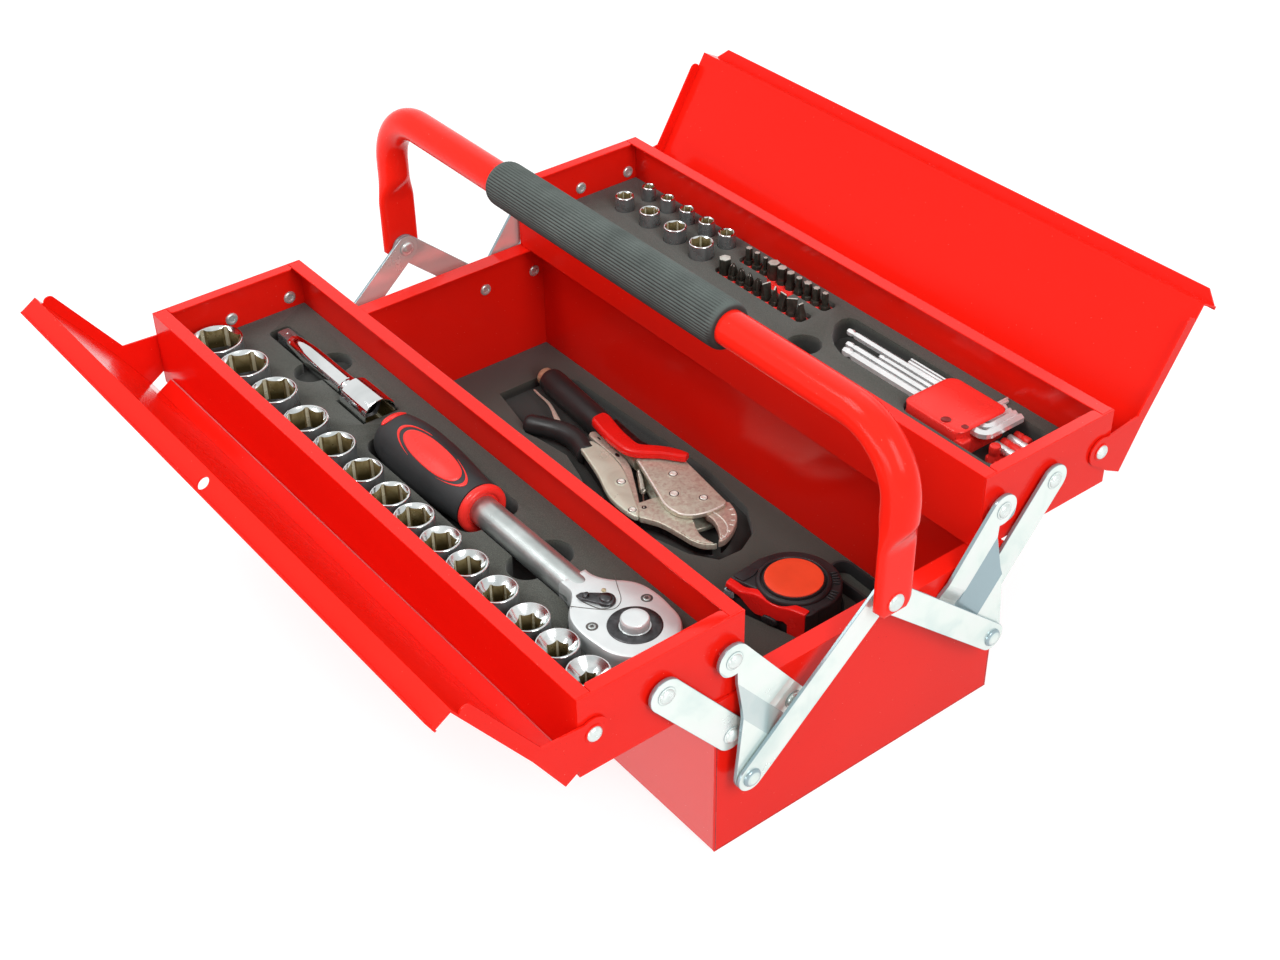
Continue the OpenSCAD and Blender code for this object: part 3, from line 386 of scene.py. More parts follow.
def plastic(name, tone, rough=(0.22, 0.36)):
    s = Surface(name, tone, 0.3, Specular_IOR_Level=0.3, Coat_Roughness=0.15)
    s.link("Base Color", s.ramp(s.noise(45, 4), (0.3, shade(tone, 0.85)), (0.7, tone)))
    s.rough(s.noise(70, 4), *rough)
    s.bump(s.noise(700, 2), 0.03, 0.5)
    return s.mat


RED_TONE, BOX_FRONT = (0.80, 0.012, 0.0055), -0.0948
RED = paint("red_paint", RED_TONE)
RED_BOX = paint("red_box_paint", RED_TONE, BOX_FRONT)
RED_TUBE = paint("red_tube_paint", (0.88, 0.018, 0.009))
# the last tone is a painted shade for the zinc faces that slope off the X direction
ZINC = metal(
    "zinc_plate", [(0.62, 0.74, 0.71), (0.74, 0.82, 0.78), (0.78, 0.82, 0.80)], (0.16, 0.3), 40, 0.003, 0.5,
    (900, 900, 60), 18, (0.29, 0.38, 0.41),
)
RIVET = metal("rivet_steel", [(0.60, 0.66, 0.64), (0.74, 0.79, 0.77)], (0.2, 0.34), 220, 0.006, 0.6)
EYELET = metal("eyelet_shadow", [(0.10, 0.09, 0.085), (0.2, 0.19, 0.18)], (0.4, 0.6), 300, 0.02)
CHROME = metal("socket_chrome", [(0.64, 0.67, 0.67), (0.80, 0.82, 0.82)], (0.05, 0.13), 40, 0.004)
CHAMFER = metal("socket_chamfer", [(0.48, 0.52, 0.52), (0.72, 0.75, 0.74)], (0.12, 0.26), 90, 0.006)
# the socket insides get painted shade that darkens down the bore
BRASSY = metal(
    "socket_inside", [(0.36, 0.27, 0.10), (0.72, 0.60, 0.32)], (0.22, 0.36), 220, 0.01, 0.55, deep=0.1285
)
# painted highlight for the hexagon's corners; the groove tone beside it is painted shade
BRASS_HIGHLIGHT = metal("socket_corner_highlight", [(0.72, 0.66, 0.44), (0.86, 0.82, 0.62)], (0.2, 0.34), 220, 0.01, 0.4)
BRASS_SHADE = metal("socket_groove", [(0.13, 0.09, 0.035), (0.24, 0.18, 0.08)], (0.35, 0.5), 220, 0.01, 0.4)
# painted shade: a darker copy of the chrome for the sides of the upright sockets and the extension's drive
# end, down in the foam
SOCKET_SIDE_SHADE = metal("socket_side_shade", [(0.16, 0.17, 0.17), (0.28, 0.30, 0.30)], (0.22, 0.36), 120, 0.006, 0.7)
SATIN = metal("ratchet_steel", [(0.70, 0.74, 0.74), (0.80, 0.84, 0.84)], (0.26, 0.4), 60, 0.004, 0.6)
SHAFT = metal("ratchet_shaft", [(0.44, 0.48, 0.47), (0.56, 0.60, 0.59)], (0.26, 0.38), 90, 0.004, 0.85)
# dark steel on the ratchet's reverse lever and cover ring, and painted shade in the sockets' drive holes and
# the pliers' cores, grooves and holes
DARK_STEEL_AND_SHADE = metal("dark_steel", [(0.05, 0.05, 0.052), (0.11, 0.11, 0.115)], (0.3, 0.45), 200)
NICKEL = metal(
    "nickel_steel", [(0.50, 0.42, 0.34), (0.60, 0.60, 0.49), (0.66, 0.70, 0.58)], (0.28, 0.42), 420, 0.008,
    0.45
)
NICKEL_ROSE = metal("nickel_rose", [(0.50, 0.38, 0.32), (0.66, 0.60, 0.50)], (0.28, 0.42), 520, 0.008, 0.45)
NICKEL_PALE = metal("nickel_pale", [(0.64, 0.72, 0.58), (0.78, 0.90, 0.75)], (0.26, 0.4), 60, 0.01, 0.4)
# polished edges and rivet heads, in a near-white tone that also paints their highlight
RIM_HIGHLIGHT = metal("polished_rim_highlight", [(0.84, 0.86, 0.78), (0.93, 0.97, 0.9)], (0.2, 0.32), 120, 0.006, 0.3)
SPRING = metal("spring_wire", [(0.42, 0.40, 0.34), (0.60, 0.57, 0.50)], (0.25, 0.4), 300, 0.008)
BRASS = metal("brass_screw", [(0.40, 0.31, 0.18), (0.62, 0.52, 0.34)], (0.2, 0.35), 300, 0.01, 0.5)
BIT = metal("bit_steel", [(0.030, 0.030, 0.024), (0.075, 0.072, 0.058)], (0.28, 0.45), 260, 0.01, 0.6)
BIT_END = metal("worn_bit_end", [(0.46, 0.45, 0.40), (0.66, 0.65, 0.60)], (0.3, 0.45), 500, 0.01, 0.3)
KEY = metal("key_chrome", [(0.74, 0.76, 0.76), (0.88, 0.89, 0.89)], (0.12, 0.24), 60, 0.006, 0.5)
RUBBER = rubber("tool_rubber", (0.018, 0.019, 0.020), (0.48, 0.66), 900, 0.05)
TAPE_RUBBER = rubber("tape_rubber", (0.016, 0.016, 0.017), (0.36, 0.55), 1200, 0.04)
WEBBING = rubber("webbing", (0.014, 0.014, 0.015), (0.7, 0.9), 2200, 0.15)
# the grip's last tone is a painted shade on its underside
GRIP_FOAM = rubber("grip_foam", (0.074, 0.090, 0.083), (0.6, 0.85), 1700, 0.04, (0.016, 0.016, 0.015))
GRIP_RUBBER = rubber("dipped_rubber", (0.014, 0.016, 0.016), (0.34, 0.5), 500, 0.03)
LEVER_RED = plastic("red_dipped_steel", (0.84, 0.014, 0.010), (0.18, 0.3))
BUMPER = plastic("red_bumper", (0.92, 0.016, 0.012), (0.2, 0.32))
# painted shade for the seams, holes and recesses of red parts
HOLE_RED = plastic("red_plastic_shade", (0.22, 0.006, 0.005))
PLASTIC = plastic("red_plastic", (0.90, 0.034, 0.026))
LABEL = plastic("tape_disc_paint", (0.98, 0.085, 0.030), (0.3, 0.42))


# ---- sheet steel and straps from the CAD model

TRAYS = ((-1, "front_tray"), (1, "rear_tray"))
ENDS = (1, -1)


def dress(node, mat, bevel=0.3):
    """Gives a CAD node its material, with slightly round edges."""
    obj = NODES[node]
    obj.data.materials.clear()
    obj.data.materials.append(mat)
    obj.modifiers.new("weld", "WELD").merge_threshold = WELD
    flat = obj.modifiers.new("flat", "DECIMATE")
    flat.decimate_type, flat.angle_limit = "DISSOLVE", math.radians(0.6)
    mod = obj.modifiers.new("edges", "BEVEL")
    mod.width, mod.segments, mod.limit_method, mod.angle_limit = bevel * MM, 2, "ANGLE", math.radians(30)


for name in ("box", "front_tray", "rear_tray"):
    dress(name + "_body", RED_BOX if name == "box" else RED)
    dress(name + "_end_right", RED)
    dress(name + "_end_left", RED)
dress("front_lid", RED)
dress("rear_lid", RED)
for side in ("right", "left"):
    for name in ("crank", "tray_link", "lift_link"):
        dress(f"front_{name}_{side}", ZINC, 0.25)
        dress(f"rear_{name}_{side}", ZINC, 0.25)


def corner_seams():
    """The folded walls end just short of the end panels' edges; the shade in that thin gap is painted as dark
    strips.
    """
    across = Matrix(((0, 0, 1, 0), (1, 0, 0, 0), (0, 1, 0, 0), (0, 0, 0, 1)))
    half, low, top = 0.22, 0.8, 92.6
    lines = []
    for y in (94.3, -94.3):
        lines.append([(y - half, low), (y + half, low), (y + half, top), (y, top + 0.6), (y - half, top)])
    lines.append([(-94, 0.5), (94, 0.5), (94, low), (-94, low)])
    s = Shape()
    for end in ENDS:
        for line in lines:
            s.plate(line, *sorted((end * 201.8, end * 202.05)), 0.03, 0, across, 2)
    s.piece("box_corner_seams", [HOLE_RED], "box")


corner_seams()


# ---- foam inlays


def foam_piece(node, body):
    """A copy of the cut foam block whose cut edges are pressed slightly round."""
    me = NODES[node].data.copy()
    me.materials.clear()
    bm = bmesh.new()
    bm.from_mesh(me)
    bmesh.ops.remove_doubles(bm, verts=bm.verts, dist=WELD)
    bmesh.ops.dissolve_limit(bm, angle_limit=math.radians(0.5), verts=bm.verts, edges=bm.edges)
    top = max(v.co.z for v in bm.verts)
    level = [e for e in bm.edges if all(abs(v.co.z - top) < 1e-5 for v in e.verts)]
    rim = [e for e in level if len(e.link_faces) == 2 and e.calc_face_angle() > 0.7]
    round_off = dict(offset=1.1 * MM, segments=3, profile=0.5, affect="EDGES", clamp_overlap=True)
    bmesh.ops.bevel(bm, geom=rim, **round_off)
    cells = foam(node + "_cells", (0.046, 0.048, 0.038), top)
    obj = finish_piece(node + "_inlay", me, bm, [cells], 40, body, [node])


foam_piece("box_foam", "box")
foam_piece("front_tray_foam", "front_tray")
foam_piece("rear_tray_foam", "rear_tray")


# ---- rivets

BOX_Y, LINK_Y, BOX_Z = 49.1, 87.3, 77.3
TRAY_Y, TRAY_LINK_Y, TRAY_Z = 87.7, 125.9, 125.0
LID_Y, LID_Z = 164.2, 124.0
STRAP = (202.4, 204.4)  # the inner and outer face of a strap that lies next to its panel


def dome(s, x, y, z, r, h, foot=2, out=1):
    """A rivet head on a face at x: a flat pressed foot, a soft shoulder and a faint flat on its crown."""
    at = place((x, y, z), 90 * out, "Y")
    s.lathe([(r, 0), (r, 0.14), (r * 0.98, 0.2), (r * 0.72, 0.24)], foot, at, 32, FOOT)
    r *= 0.8
    crown = ((0.9, 0), (1, 0.06), (1, 0.22), (0.95, 0.45), (0.8, 0.72), (0.58, 0.92), (0.3, 1), (0, 0.985))
    s.lathe([(r * a, h * b) for a, b in crown], 0, at, 32, FOOT)


def eyelet(s, x, y, z, r, out):
    """The rolled inner end of a tubular rivet, with a painted shadow in its hole."""
    at = place((x, y, z), 90 * out, "Y")
    roll = ((1, 0), (1, 0.25), (0.93, 0.75), (0.76, 1.15), (0.58, 1.2), (0.44, 0.95), (0.38, 0.5))
    s.lathe([(r * a, h) for a, h in roll], 0, at, 28, FOOT)
    s.lathe([(r * 0.39, 0.52), (r * 0.36, 0.3), (0, 0.25)], 1, at, 28, OPEN)


def rivets(name, node, body, places, panel_in, panel_out):
    """places holds (y, z, inner face of the strap, outer face of the strap) on the right end."""
    s = Shape()
    for end in ENDS:
        for y, z, low, high in places:
            dome(s, end * (high + 0.1), y, z, 5, 2, 3 if high < 203 else 2, end)
            at = place((end * (panel_in - 0.6), y, z), 90 * end, "Y")
            s.lathe([(2.5, 0), (2.5, high + 0.8 - panel_in)], 0, at, 24)
            if low - panel_out > 0.6:
                gap = low - panel_out - 0.15
                washer = [(4.2, 0), (4.5, gap * 0.2), (4.5, gap * 0.8), (4.2, gap)]
                s.lathe(washer, 0, place((end * panel_out, y, z), 90 * end, "Y"), 24)
            eyelet(s, end * panel_in, y, z, 3.9, -end)
    s.piece(name, [RIVET, EYELET, ZINC, RED], body, [node])


box_places = [(k * y, BOX_Z, *STRAP) for y in (BOX_Y, LINK_Y) for k in (1, -1)]
rivets("box_strap_rivets", "box_rivets", "box", box_places, 201, 202)
for k, name in TRAYS:
    places = [
        (k * TRAY_Y, TRAY_Z, 203.6, 205.6), (k * TRAY_LINK_Y, TRAY_Z, *STRAP), (k * LID_Y, LID_Z, 201, 202)
    ]
    rivets(name + "_strap_rivets", name + "_rivets", name, places, 199.5, 200.5)


# ---- handle

LEG_X, TUBE_Z, BEND, TUBE_R = 216.9, 213.5, 35.0, 9.5
LEG_LOW, PIVOT_Z = 114.0, 121.5
GRIP_HALF = 96


def tube_section(t, n=40):
    """Points across the flat and along y: t is 0 for the squeezed end and 1 for the round tube."""
    pts = []
    for c, w, _ in ring(1, n):
        fx = 2.5 * math.copysign(min(1, abs(c) * 1.9) ** 0.8, c)
        fy = 9.5 * w + 2.5 * math.copysign(abs(w) ** 3, w)
        pts.append(((1 - t) * fx + t * TUBE_R * c, (1 - t) * fy + t * TUBE_R * w))
    return pts


def handle():
    """A bent tube; the lower end of each leg is squeezed flat, with a diagonal crease above."""
    flat, full = tube_section(0), tube_section(1)
    rings = []
    for up in (0, 0.4, 1.4, 3.5, 6, 10, 16, 24, 32):
        thin = 1 - 0.5 * max(0, 1 - up / 1.4) ** 2
        cut = 12 - max(0, 6 - up)
        rings.append([(LEG_X + x * thin, max(-cut, min(cut, y)), LEG_LOW + up) for x, y in flat])
    for i in range(13):
        t = i / 12
        crease = 0.9 * math.sin(math.pi * t) ** 2
        row = []
        for x, y in tube_section(ease(t * 1.05 - 0.02)):
            pinch = 1 - crease * 0.16 * math.exp(-((y + 8 - 16 * t) / 4.5) ** 2)
            row.append((LEG_X + x * pinch, y, 151.5 + 20 * t))
        rings.append(row)
    for i in range(17):
        c, w = math.cos(math.pi / 2 * i / 16), math.sin(math.pi / 2 * i / 16)
        rings.append([(LEG_X - BEND + (BEND + x) * c, y, TUBE_Z - BEND + (BEND + x) * w) for x, y in full])
    rings += [[(x0, y, TUBE_Z + x) for x, y in full] for x0 in (120, 60, 0)]
    s = Shape()
    s.loft(rings + [[(-x, y, z) for x, y, z in r] for r in rings[-2::-1]])
    s.piece("handle_bar", [RED_TUBE], "handle", ["handle_tube"], angle=50)


def handle_grip():
    """Foam sleeve with fine ribs along it, round at its ends."""
    ribs, steps = 46, 6
    n = ribs * steps
    end = [(0, 10.2), (0, 10.6), (0, 11.4), (0.3, 12.0), (1.2, 12.55), (2.6, 12.9), (4.5, 13.0)]
    rows = [(a - GRIP_HALF, r) for a, r in end] + [(-48, 13), (0, 13), (48, 13)]
    rows += [(GRIP_HALF - a, r) for a, r in reversed(end)]
    humps = [abs(math.sin(math.pi * (k % steps / steps))) ** 0.6 for k in range(n)]
    rings = []
    for x, r in rows:
        deep = 0.55 * ease((GRIP_HALF - abs(x)) / 4.0)
        rings.append([(x, u, TUBE_Z + v) for u, v in wavy([r - deep * (1 - hump) for hump in humps])])
    s = Shape()
    s.loft(rings, caps=OPEN)
    inner = [upright_ring(x, 0, TUBE_Z, 9.6, n) for x in (-GRIP_HALF, GRIP_HALF)]
    for pair in ([inner[0], rings[0]], [rings[-1], inner[1]], [inner[1], inner[0]]):
        s.loft(pair, caps=OPEN)
    obj = s.piece("handle_foam_grip", [GRIP_FOAM], "handle", ["handle_grip"], angle=60)


def handle_rivets():
    s = Shape()
    for end in ENDS:
        dome(s, end * 219.4, 0, PIVOT_Z, 6, 2.0, 1, end)
        dome(s, end * 209.85, 0, PIVOT_Z, 5, 1.4, 2, -end)
        s.lathe([(2.95, 0), (2.95, 10.2)], 0, place((end * 209.5, 0, PIVOT_Z), 90 * end, "Y"), 24)
    s.piece("handle_pivot_rivets", [RIVET, RED_TUBE, ZINC], "handle", ["handle_rivets"])


handle()
handle_grip()
handle_rivets()


# ---- sockets


def socket(s, at, length, d, size, turn, drive):
    """A socket on its drive end: scalloped chamfer, brassy hexagon, square drive hole."""
    n = 72
    r, flat = d / 2, min(size, d - 3.2) / 2
    mouth, top, deep = r - 0.9, length - 0.06, length * 0.5
    corner = flat / math.cos(math.pi / 6)

    def hexagon(k):
        a = abs((k * 5 + 30) % 60 - 30)
        if a < 4:
            return min(corner * 1.004, mouth - 0.05)
        if a < 9:
            return min(corner * 0.985, mouth - 0.08)
        return flat / math.cos(math.radians(30 - a))

    def square(k):
        a = math.radians((5 * k) % 90 - 45)
        return min(drive / 2 / math.cos(a), drive * 0.66)

    def row(radius, z):
        out = []
        for k in range(n):
            a = math.radians(turn + 5 * k)
            q = radius(k) if callable(radius) else radius
            out.append((q * math.cos(a), q * math.sin(a), z(k) if callable(z) else z))
        return out

    def chamfer(t):
        """The row at share t from mouth to hexagon; the cone's foot rises and falls with the corners."""
        drop = [mouth - hexagon(k) for k in range(n)]
        sag = 0.075 * math.sin(math.pi * t)
        return row(lambda k: mouth - drop[k] * t, lambda k: top - (0.95 * t + sag) * drop[k])

    foot = chamfer(1)
    lip = lambda k: foot[k][2]
    side = [row(r - 1.6, 0), row(r - 0.5, 0.35), row(r, 1.1), row(r, length - 0.7)]
    rim = [row(r - 0.12, length - 0.32), row(r - 0.36, length - 0.08), row(r - 0.6, length), row(mouth, top)]
    # the outer side takes material 6, which is painted shade on the upright sockets
    s.loft(side, 6, at, FOOT)
    s.loft(side[3:] + rim, 0, at, OPEN)
    s.loft([chamfer(t) for t in (0, 0.34, 0.67, 1)], 3, at, OPEN)
    first = len(s.m)
    s.loft([row(hexagon, lip), row(hexagon, lambda k: (lip(k) + deep) / 2), row(hexagon, deep)], 1, at, OPEN)
    # painted highlight along each corner of the hexagon, with painted shade beside it
    for i in range(first, len(s.m)):
        off = abs(((i - first) % n * 5 + 32.5) % 60 - 30)
        s.m[i] = 4 if off < 3 else 5 if off < 8 else 1
    # painted shade: the drive hole's step and walls are dark
    s.loft(
        [row(hexagon, deep), row(flat * 0.86, deep - 0.9), row(square, deep - 1.1), row(square, 1.5)], 2, at,
        HEAD
    )


SOCKET_MATS = [CHROME, BRASSY, DARK_STEEL_AND_SHADE, CHAMFER, BRASS_HIGHLIGHT, BRASS_SHADE, SOCKET_SIDE_SHADE]
LARGE = [
    (-179.25, 30, 24, 10), (-147.25, 28, 22, 9), (-113.25, 26, 21, 56), (-78.75, 25, 19, 27),
    (-48.75, 23, 18, 15), (-19.75, 21, 17, 2), (6.25, 21, 16, 53), (28.75, 21, 15, 50), (52.75, 21, 14, 57),
    (76.25, 21, 13, 23), (101.25, 21, 12, 53), (126.75, 21, 11, 5), (149.75, 21, 10, 27), (173.25, 21, 8, 40),
]
ROW_Y, SOCKET_LOW = -145.7, 102.6
HALF_INCH, QUARTER_INCH = 12.7, 6.35
s = Shape()
for x, d, size, turn in LARGE:
    socket(s, place((x, ROW_Y, SOCKET_LOW)), 27, d, size, turn, HALF_INCH)
s.piece("socket_row", SOCKET_MATS, "front_tray", ["large_sockets"], angle=28)

s = Shape()
for row_d, y, pitch, turn in (
    ([9, 9.5, 10, 10.5, 11], 158.7, 19.4, 12), ([12, 13, 14.5, 15.5], 139.0, 25.6, 33)
):
    for i, d in enumerate(row_d):
        drive = QUARTER_INCH if d > 10.9 else 4.2
        socket(s, place((pitch * i - 170, y, SOCKET_LOW)), 25, d, d - 3.2, turn + 17 * i, drive)
s.piece("small_socket_rows", SOCKET_MATS, "rear_tray", ["small_sockets"], angle=28)


# ---- extension bar and plug socket

TOOL_Y, BAR_Z = -105.7, 118.6
BAR_X0, PLUG_X0 = -176.5, -96.2
ALONG_X = place(turn=90, axis="Y")


def squared(r, side, t, n=48):
    """Section between a circle of radius r (t = 1) and a square with eased corners (t = 0)."""
    out = []
    for k in range(n):
        a = TAU * k / n
        b = (a + math.pi / 4) % (math.pi / 2) - math.pi / 4
        q = min(side / 2 / math.cos(b), side * 0.66)
        q = q + (r - q) * t
        out.append((q * math.cos(a), q * math.sin(a)))
    return out


BAR_ROWS = [
    (0, 6.2, 4, 0), (0.35, 7.4, 4, 0), (0.9, 7.8, 4, 0), (10.2, 7.8, 4, 0), (10.8, 8.2, 4.2, 0.2),
    (11.6, 9, 4.8, 0.7), (12.6, 9, 5.0, 1), (14, 9, 5.3, 1), (18, 9, 5.5, 1), (24, 9, 5.85, 1),
    (30, 9, 6.3, 1), (33, 9, 6.5, 1), (50, 9, 6.5, 1), (70, 9, 6.5, 1), (72.6, 9, 6.5, 1), (73.1, 9, 6.2, 1),
    (73.4, 9, 5.4, 1), (74, 9, 5.2, 1), (79.6, 9, 5.2, 1),
]
s = Shape()
rings = []
for h, side, r, t in BAR_ROWS:
    sink = 1.3 * (1 - ease(h / 24))
    rings.append([(BAR_X0 + h, TOOL_Y + y, BAR_Z - sink + z) for y, z in squared(r, side, t)])
# the drive end takes the painted-shade side tone
s.loft(rings[:7], 1)
s.loft(rings[6:], 0, None, HEAD)
ball = [(1.2, -0.3), (1.15, 0.1), (0.9, 0.45), (0.5, 0.62), (0, 0.66)]
s.lathe(ball, 0, place((BAR_X0 + 5.5, TOOL_Y, BAR_Z + 2.5)), 20, OPEN)
s.piece("extension_shank", [CHROME, SOCKET_SIDE_SHADE], "front_tray", ["extension_bar"], angle=30)

s = Shape()
socket(s, place((PLUG_X0, TOOL_Y, BAR_Z)) @ ALONG_X, 27, 21, 16, 30, HALF_INCH)
plug_mats = SOCKET_MATS[:6] + [CHROME]
s.piece("spark_plug_socket", plug_mats, "front_tray", ["plug_socket"], angle=28)


# ---- ratchet

RX0, RY, RZ = -51.5, -109.9, 119.3
HEAD_X, HEAD_TOP, HEAD_R = 161.0, 128.0, 22
GRIP_ROWS = [
    (0, 7.2), (0.3, 9.0), (1.3, 11.2), (3.2, 13.1), (6, 14.4), (10, 15.3), (16, 16.3), (24, 17), (33, 17.05),
    (42, 16.9), (52, 16.2), (62, 15.3), (72, 14.2), (80, 13.6), (83.6, 13.5),
]


def grip_point(dx, a, off=0.0):
    """A point on the grip: a is the turn from straight up towards -y."""
    r = between(GRIP_ROWS, dx) + off
    flat = 1 - 0.035 * (math.sin(2 * a) ** 2)
    return (RX0 + dx, RY - r * flat * math.sin(a), RZ + r * flat * math.cos(a))


def grip_patch(s, centre, half_x, half_a, high=0.45, power=2.0):
    """A raised oval on the grip with a soft border; half_a is in millimetres round the grip."""
    lean = lambda w: math.copysign(abs(w) ** (2 / power), w)
    rise = [(1.0, None), (1.0, 0.5), (0.965, 0.9), (0.93, 1), (0.90, 0.72), (0.86, 0.55), (0.6, 0.6)]
    rings = []
    for share, lift in rise + [(0.3, 0.62), (0.02, 0.62)]:
        row = []
        for c, w, _ in ring(1, 56):
            dx = centre[0] + lean(c) * half_x * share
            turn = centre[1] + lean(w) * half_a * share / between(GRIP_ROWS, dx)
            row.append(grip_point(dx, turn, -0.25 if lift is None else high * lift))
        rings.append(row)
    s.loft(rings, 1, None, HEAD)


def grip_crescent(s, centre, reach, span, side, high=0.4):
    """A thin raised crescent that follows the oval's end."""
    rows = []
    for t in (k / 14 - 1 for k in range(29)):
        wide = 1.25 * max(0, 1 - t * t) ** 0.5 + 0.05
        turn = centre[1] + span * math.sin(t * 1.15) / 16.5
        mid = centre[0] + side * reach * math.cos(t * 1.15)
        section = ((-1, -0.2), (-0.8, high * 0.8), (0, high), (0.8, high * 0.8), (1, -0.2))
        rows.append([grip_point(mid + side * wide * w, turn, off) for w, off in section])
    s.loft(rows, 1, loop=False)


s = Shape()
steps = [dx for (a, _), (b, _) in zip(GRIP_ROWS, GRIP_ROWS[1:]) for dx in (a, (a + b) / 2)] + [83.6]
rows = [(dx, 0.0) for dx in steps] + [(83.9, -0.6), (83.9, -5.6)]
s.loft([[grip_point(dx, TAU * k / 64, off) for k in range(64)] for dx, off in rows])
OVAL = (49, 0.30)
grip_patch(s, OVAL, 24.2, 7.6, power=2.15)
grip_patch(s, (5.6, 0.06), 3.3, 8.2, 0.55)
for side in (-1, 1):
    grip_crescent(s, OVAL, 29.0, 9.2, side)
s.piece("ratchet_handle_grip", [RUBBER, PLASTIC], "front_tray", ["ratchet_grip"], angle=45)

s = Shape()
collar = [
    (8.05, 0.4), (9.6, 0.15), (11.5, 0.0), (13.0, 0.25), (13.8, 1.1), (14, 2.4), (13.8, 3.7), (12.9, 4.7),
    (11.4, 5.0), (10.2, 4.7), (9.5, 3.9), (9.2, 3.2), (8.05, 3.1),
]
s.lathe(collar, 0, place((RX0 + 84, RY, RZ)) @ ALONG_X, 64, OPEN)
s.piece("ratchet_collar", [PLASTIC], "front_tray", ["ratchet_trim"], angle=50)

HEAD_HALF = [
    (-49, 8.0), (-44, 8.05), (-41, 8.4), (-38, 9.2), (-35, 11.1), (-31.5, 14.2), (-28.4, 17.3), (-24.5, 20.0),
    (-20.1, 21.7), (-15, 22.6), (-9.5, 22.85), (-4.5, 22.6), (0, HEAD_R),
]


def head_outline():
    side = [(p.x, p.y) for p in flow(HEAD_HALF, 3, False)]
    nose = [(HEAD_R * math.sin(a), HEAD_R * math.cos(a)) for a in (math.pi * k / 36 for k in range(1, 36))]
    return ([*side, *nose] + [(x, -y) for x, y in side[::-1]])[::-1]


def head_high(x, z):
    """The head's height falls to the shaft's along the neck; z is -1 below and 1 above."""
    if z > 0:
        return 7.4 + (HEAD_TOP - RZ - 7.4) * ease((x + 46) / 9.5)
    return -(7.4 + (RZ - 104.6 - 7.4) * ease((x + 44) / 16))


s = Shape()
outline = head_outline()
rings = []
for inset, h in (
    (4, -1), (3.4, -1), (1.4, -0.93), (0.35, -0.8), (0, -0.6), (0, 0.3), (0, 0.62), (0.25, 0.83), (0.8, 0.94),
    (1.7, 0.985), (2.6, 1.0),
):
    pairs = zip(offset(outline, inset), outline)
    rings.append([(HEAD_X + p.x, RY + p.y, RZ + head_high(q[0], h) * abs(h)) for p, q in pairs])
s.loft(rings)
shaft = [
    (RX0 + 86, 7.9), (RX0 + 88, 8.0), (60, 8.0), (90, 8.0), (110, 8.0), (115, 8.05), (119.5, 8.3), (123, 8.2)
]
s.rod(RY, RZ, shaft, 1)
s.piece("ratchet_forging", [SATIN, SHAFT], "front_tray", ["ratchet_body"], angle=32)


def torx(s, y, r):
    """A flush screw: a painted shadow in the bore round a grey head, and in its six-lobed recess."""
    n = 48
    at = place((HEAD_X - 11.6, y, HEAD_TOP + 0.05))
    star = wavy([r * (0.34 + 0.07 * math.cos(6 * TAU * k / n)) for k in range(n)])
    lobes = lambda z: [(u, v, z) for u, v in star]
    s.loft([ring(r, n, -0.4), ring(r, n, 0.05), ring(r * 0.9, n, 0.12), ring(r * 0.64, n, 0.06)], 1, at, OPEN)
    s.loft([ring(r * 0.64, n, 0.06), ring(r * 0.6, n, 0.16), ring(r * 0.55, n, 0.2), lobes(0.2)], 2, at, OPEN)
    s.loft([lobes(0.2), lobes(0.06)], 1, at, HEAD)


s = Shape()
on_head = place((HEAD_X, RY, HEAD_TOP))
cover = [
    (13.15, -0.5), (13.15, 0.05), (12.9, 0.35), (12.4, 0.5), (9.6, 0.55), (8.4, 0.5), (7.6, 0.2),
    (7.45, -0.6), (7.45, -3),
]
s.lathe(cover, 0, on_head, 72, OPEN)
torx(s, RY + 16, 2.9)
torx(s, RY - 16, 2.9)
# the split line and the oval hollow are drawn in the painted-shadow tone
groove = [
    (-34.6, 14.4), (-26.4, 10.2), (-19.2, 6.6), (-15.9, 2.9), (-15.4, -1.6), (-19.8, -6.9), (-29.3, -15.4)
]
s.tube([(HEAD_X + p.x, RY + p.y, HEAD_TOP + 0.02) for p in flow(groove, 6, False)], 0.2, 1, n=8)
oval = [
    (-33.9, -8.7), (-30.5, -9.4), (-25, -8.4), (-18.6, -5.6), (-16.7, -0.9), (-18.9, 3.6), (-22.6, 4.6),
    (-28, 0.8), (-33.2, -4.9),
]
s.terrace(flow(oval, 6), [(0, 0.02), (0.35, 0.12), (0.7, 0.02), (1.0, -0.35)], 1, on_head, HEAD)
s.piece("ratchet_cover_plate", [DARK_STEEL_AND_SHADE, EYELET, SHAFT], "front_tray", ["ratchet_cover"], angle=40)

s = Shape()
button = [(7.0, -4), (7.0, 3.4), (6.8, 4.3), (6.3, 4.85), (5.6, 5.0), (3.0, 5.0), (0, 4.98)]
s.lathe(button, 0, on_head, 64, FOOT)
s.piece("ratchet_push_button", [SATIN], "ratchet_button", ["ratchet_button"], angle=35)

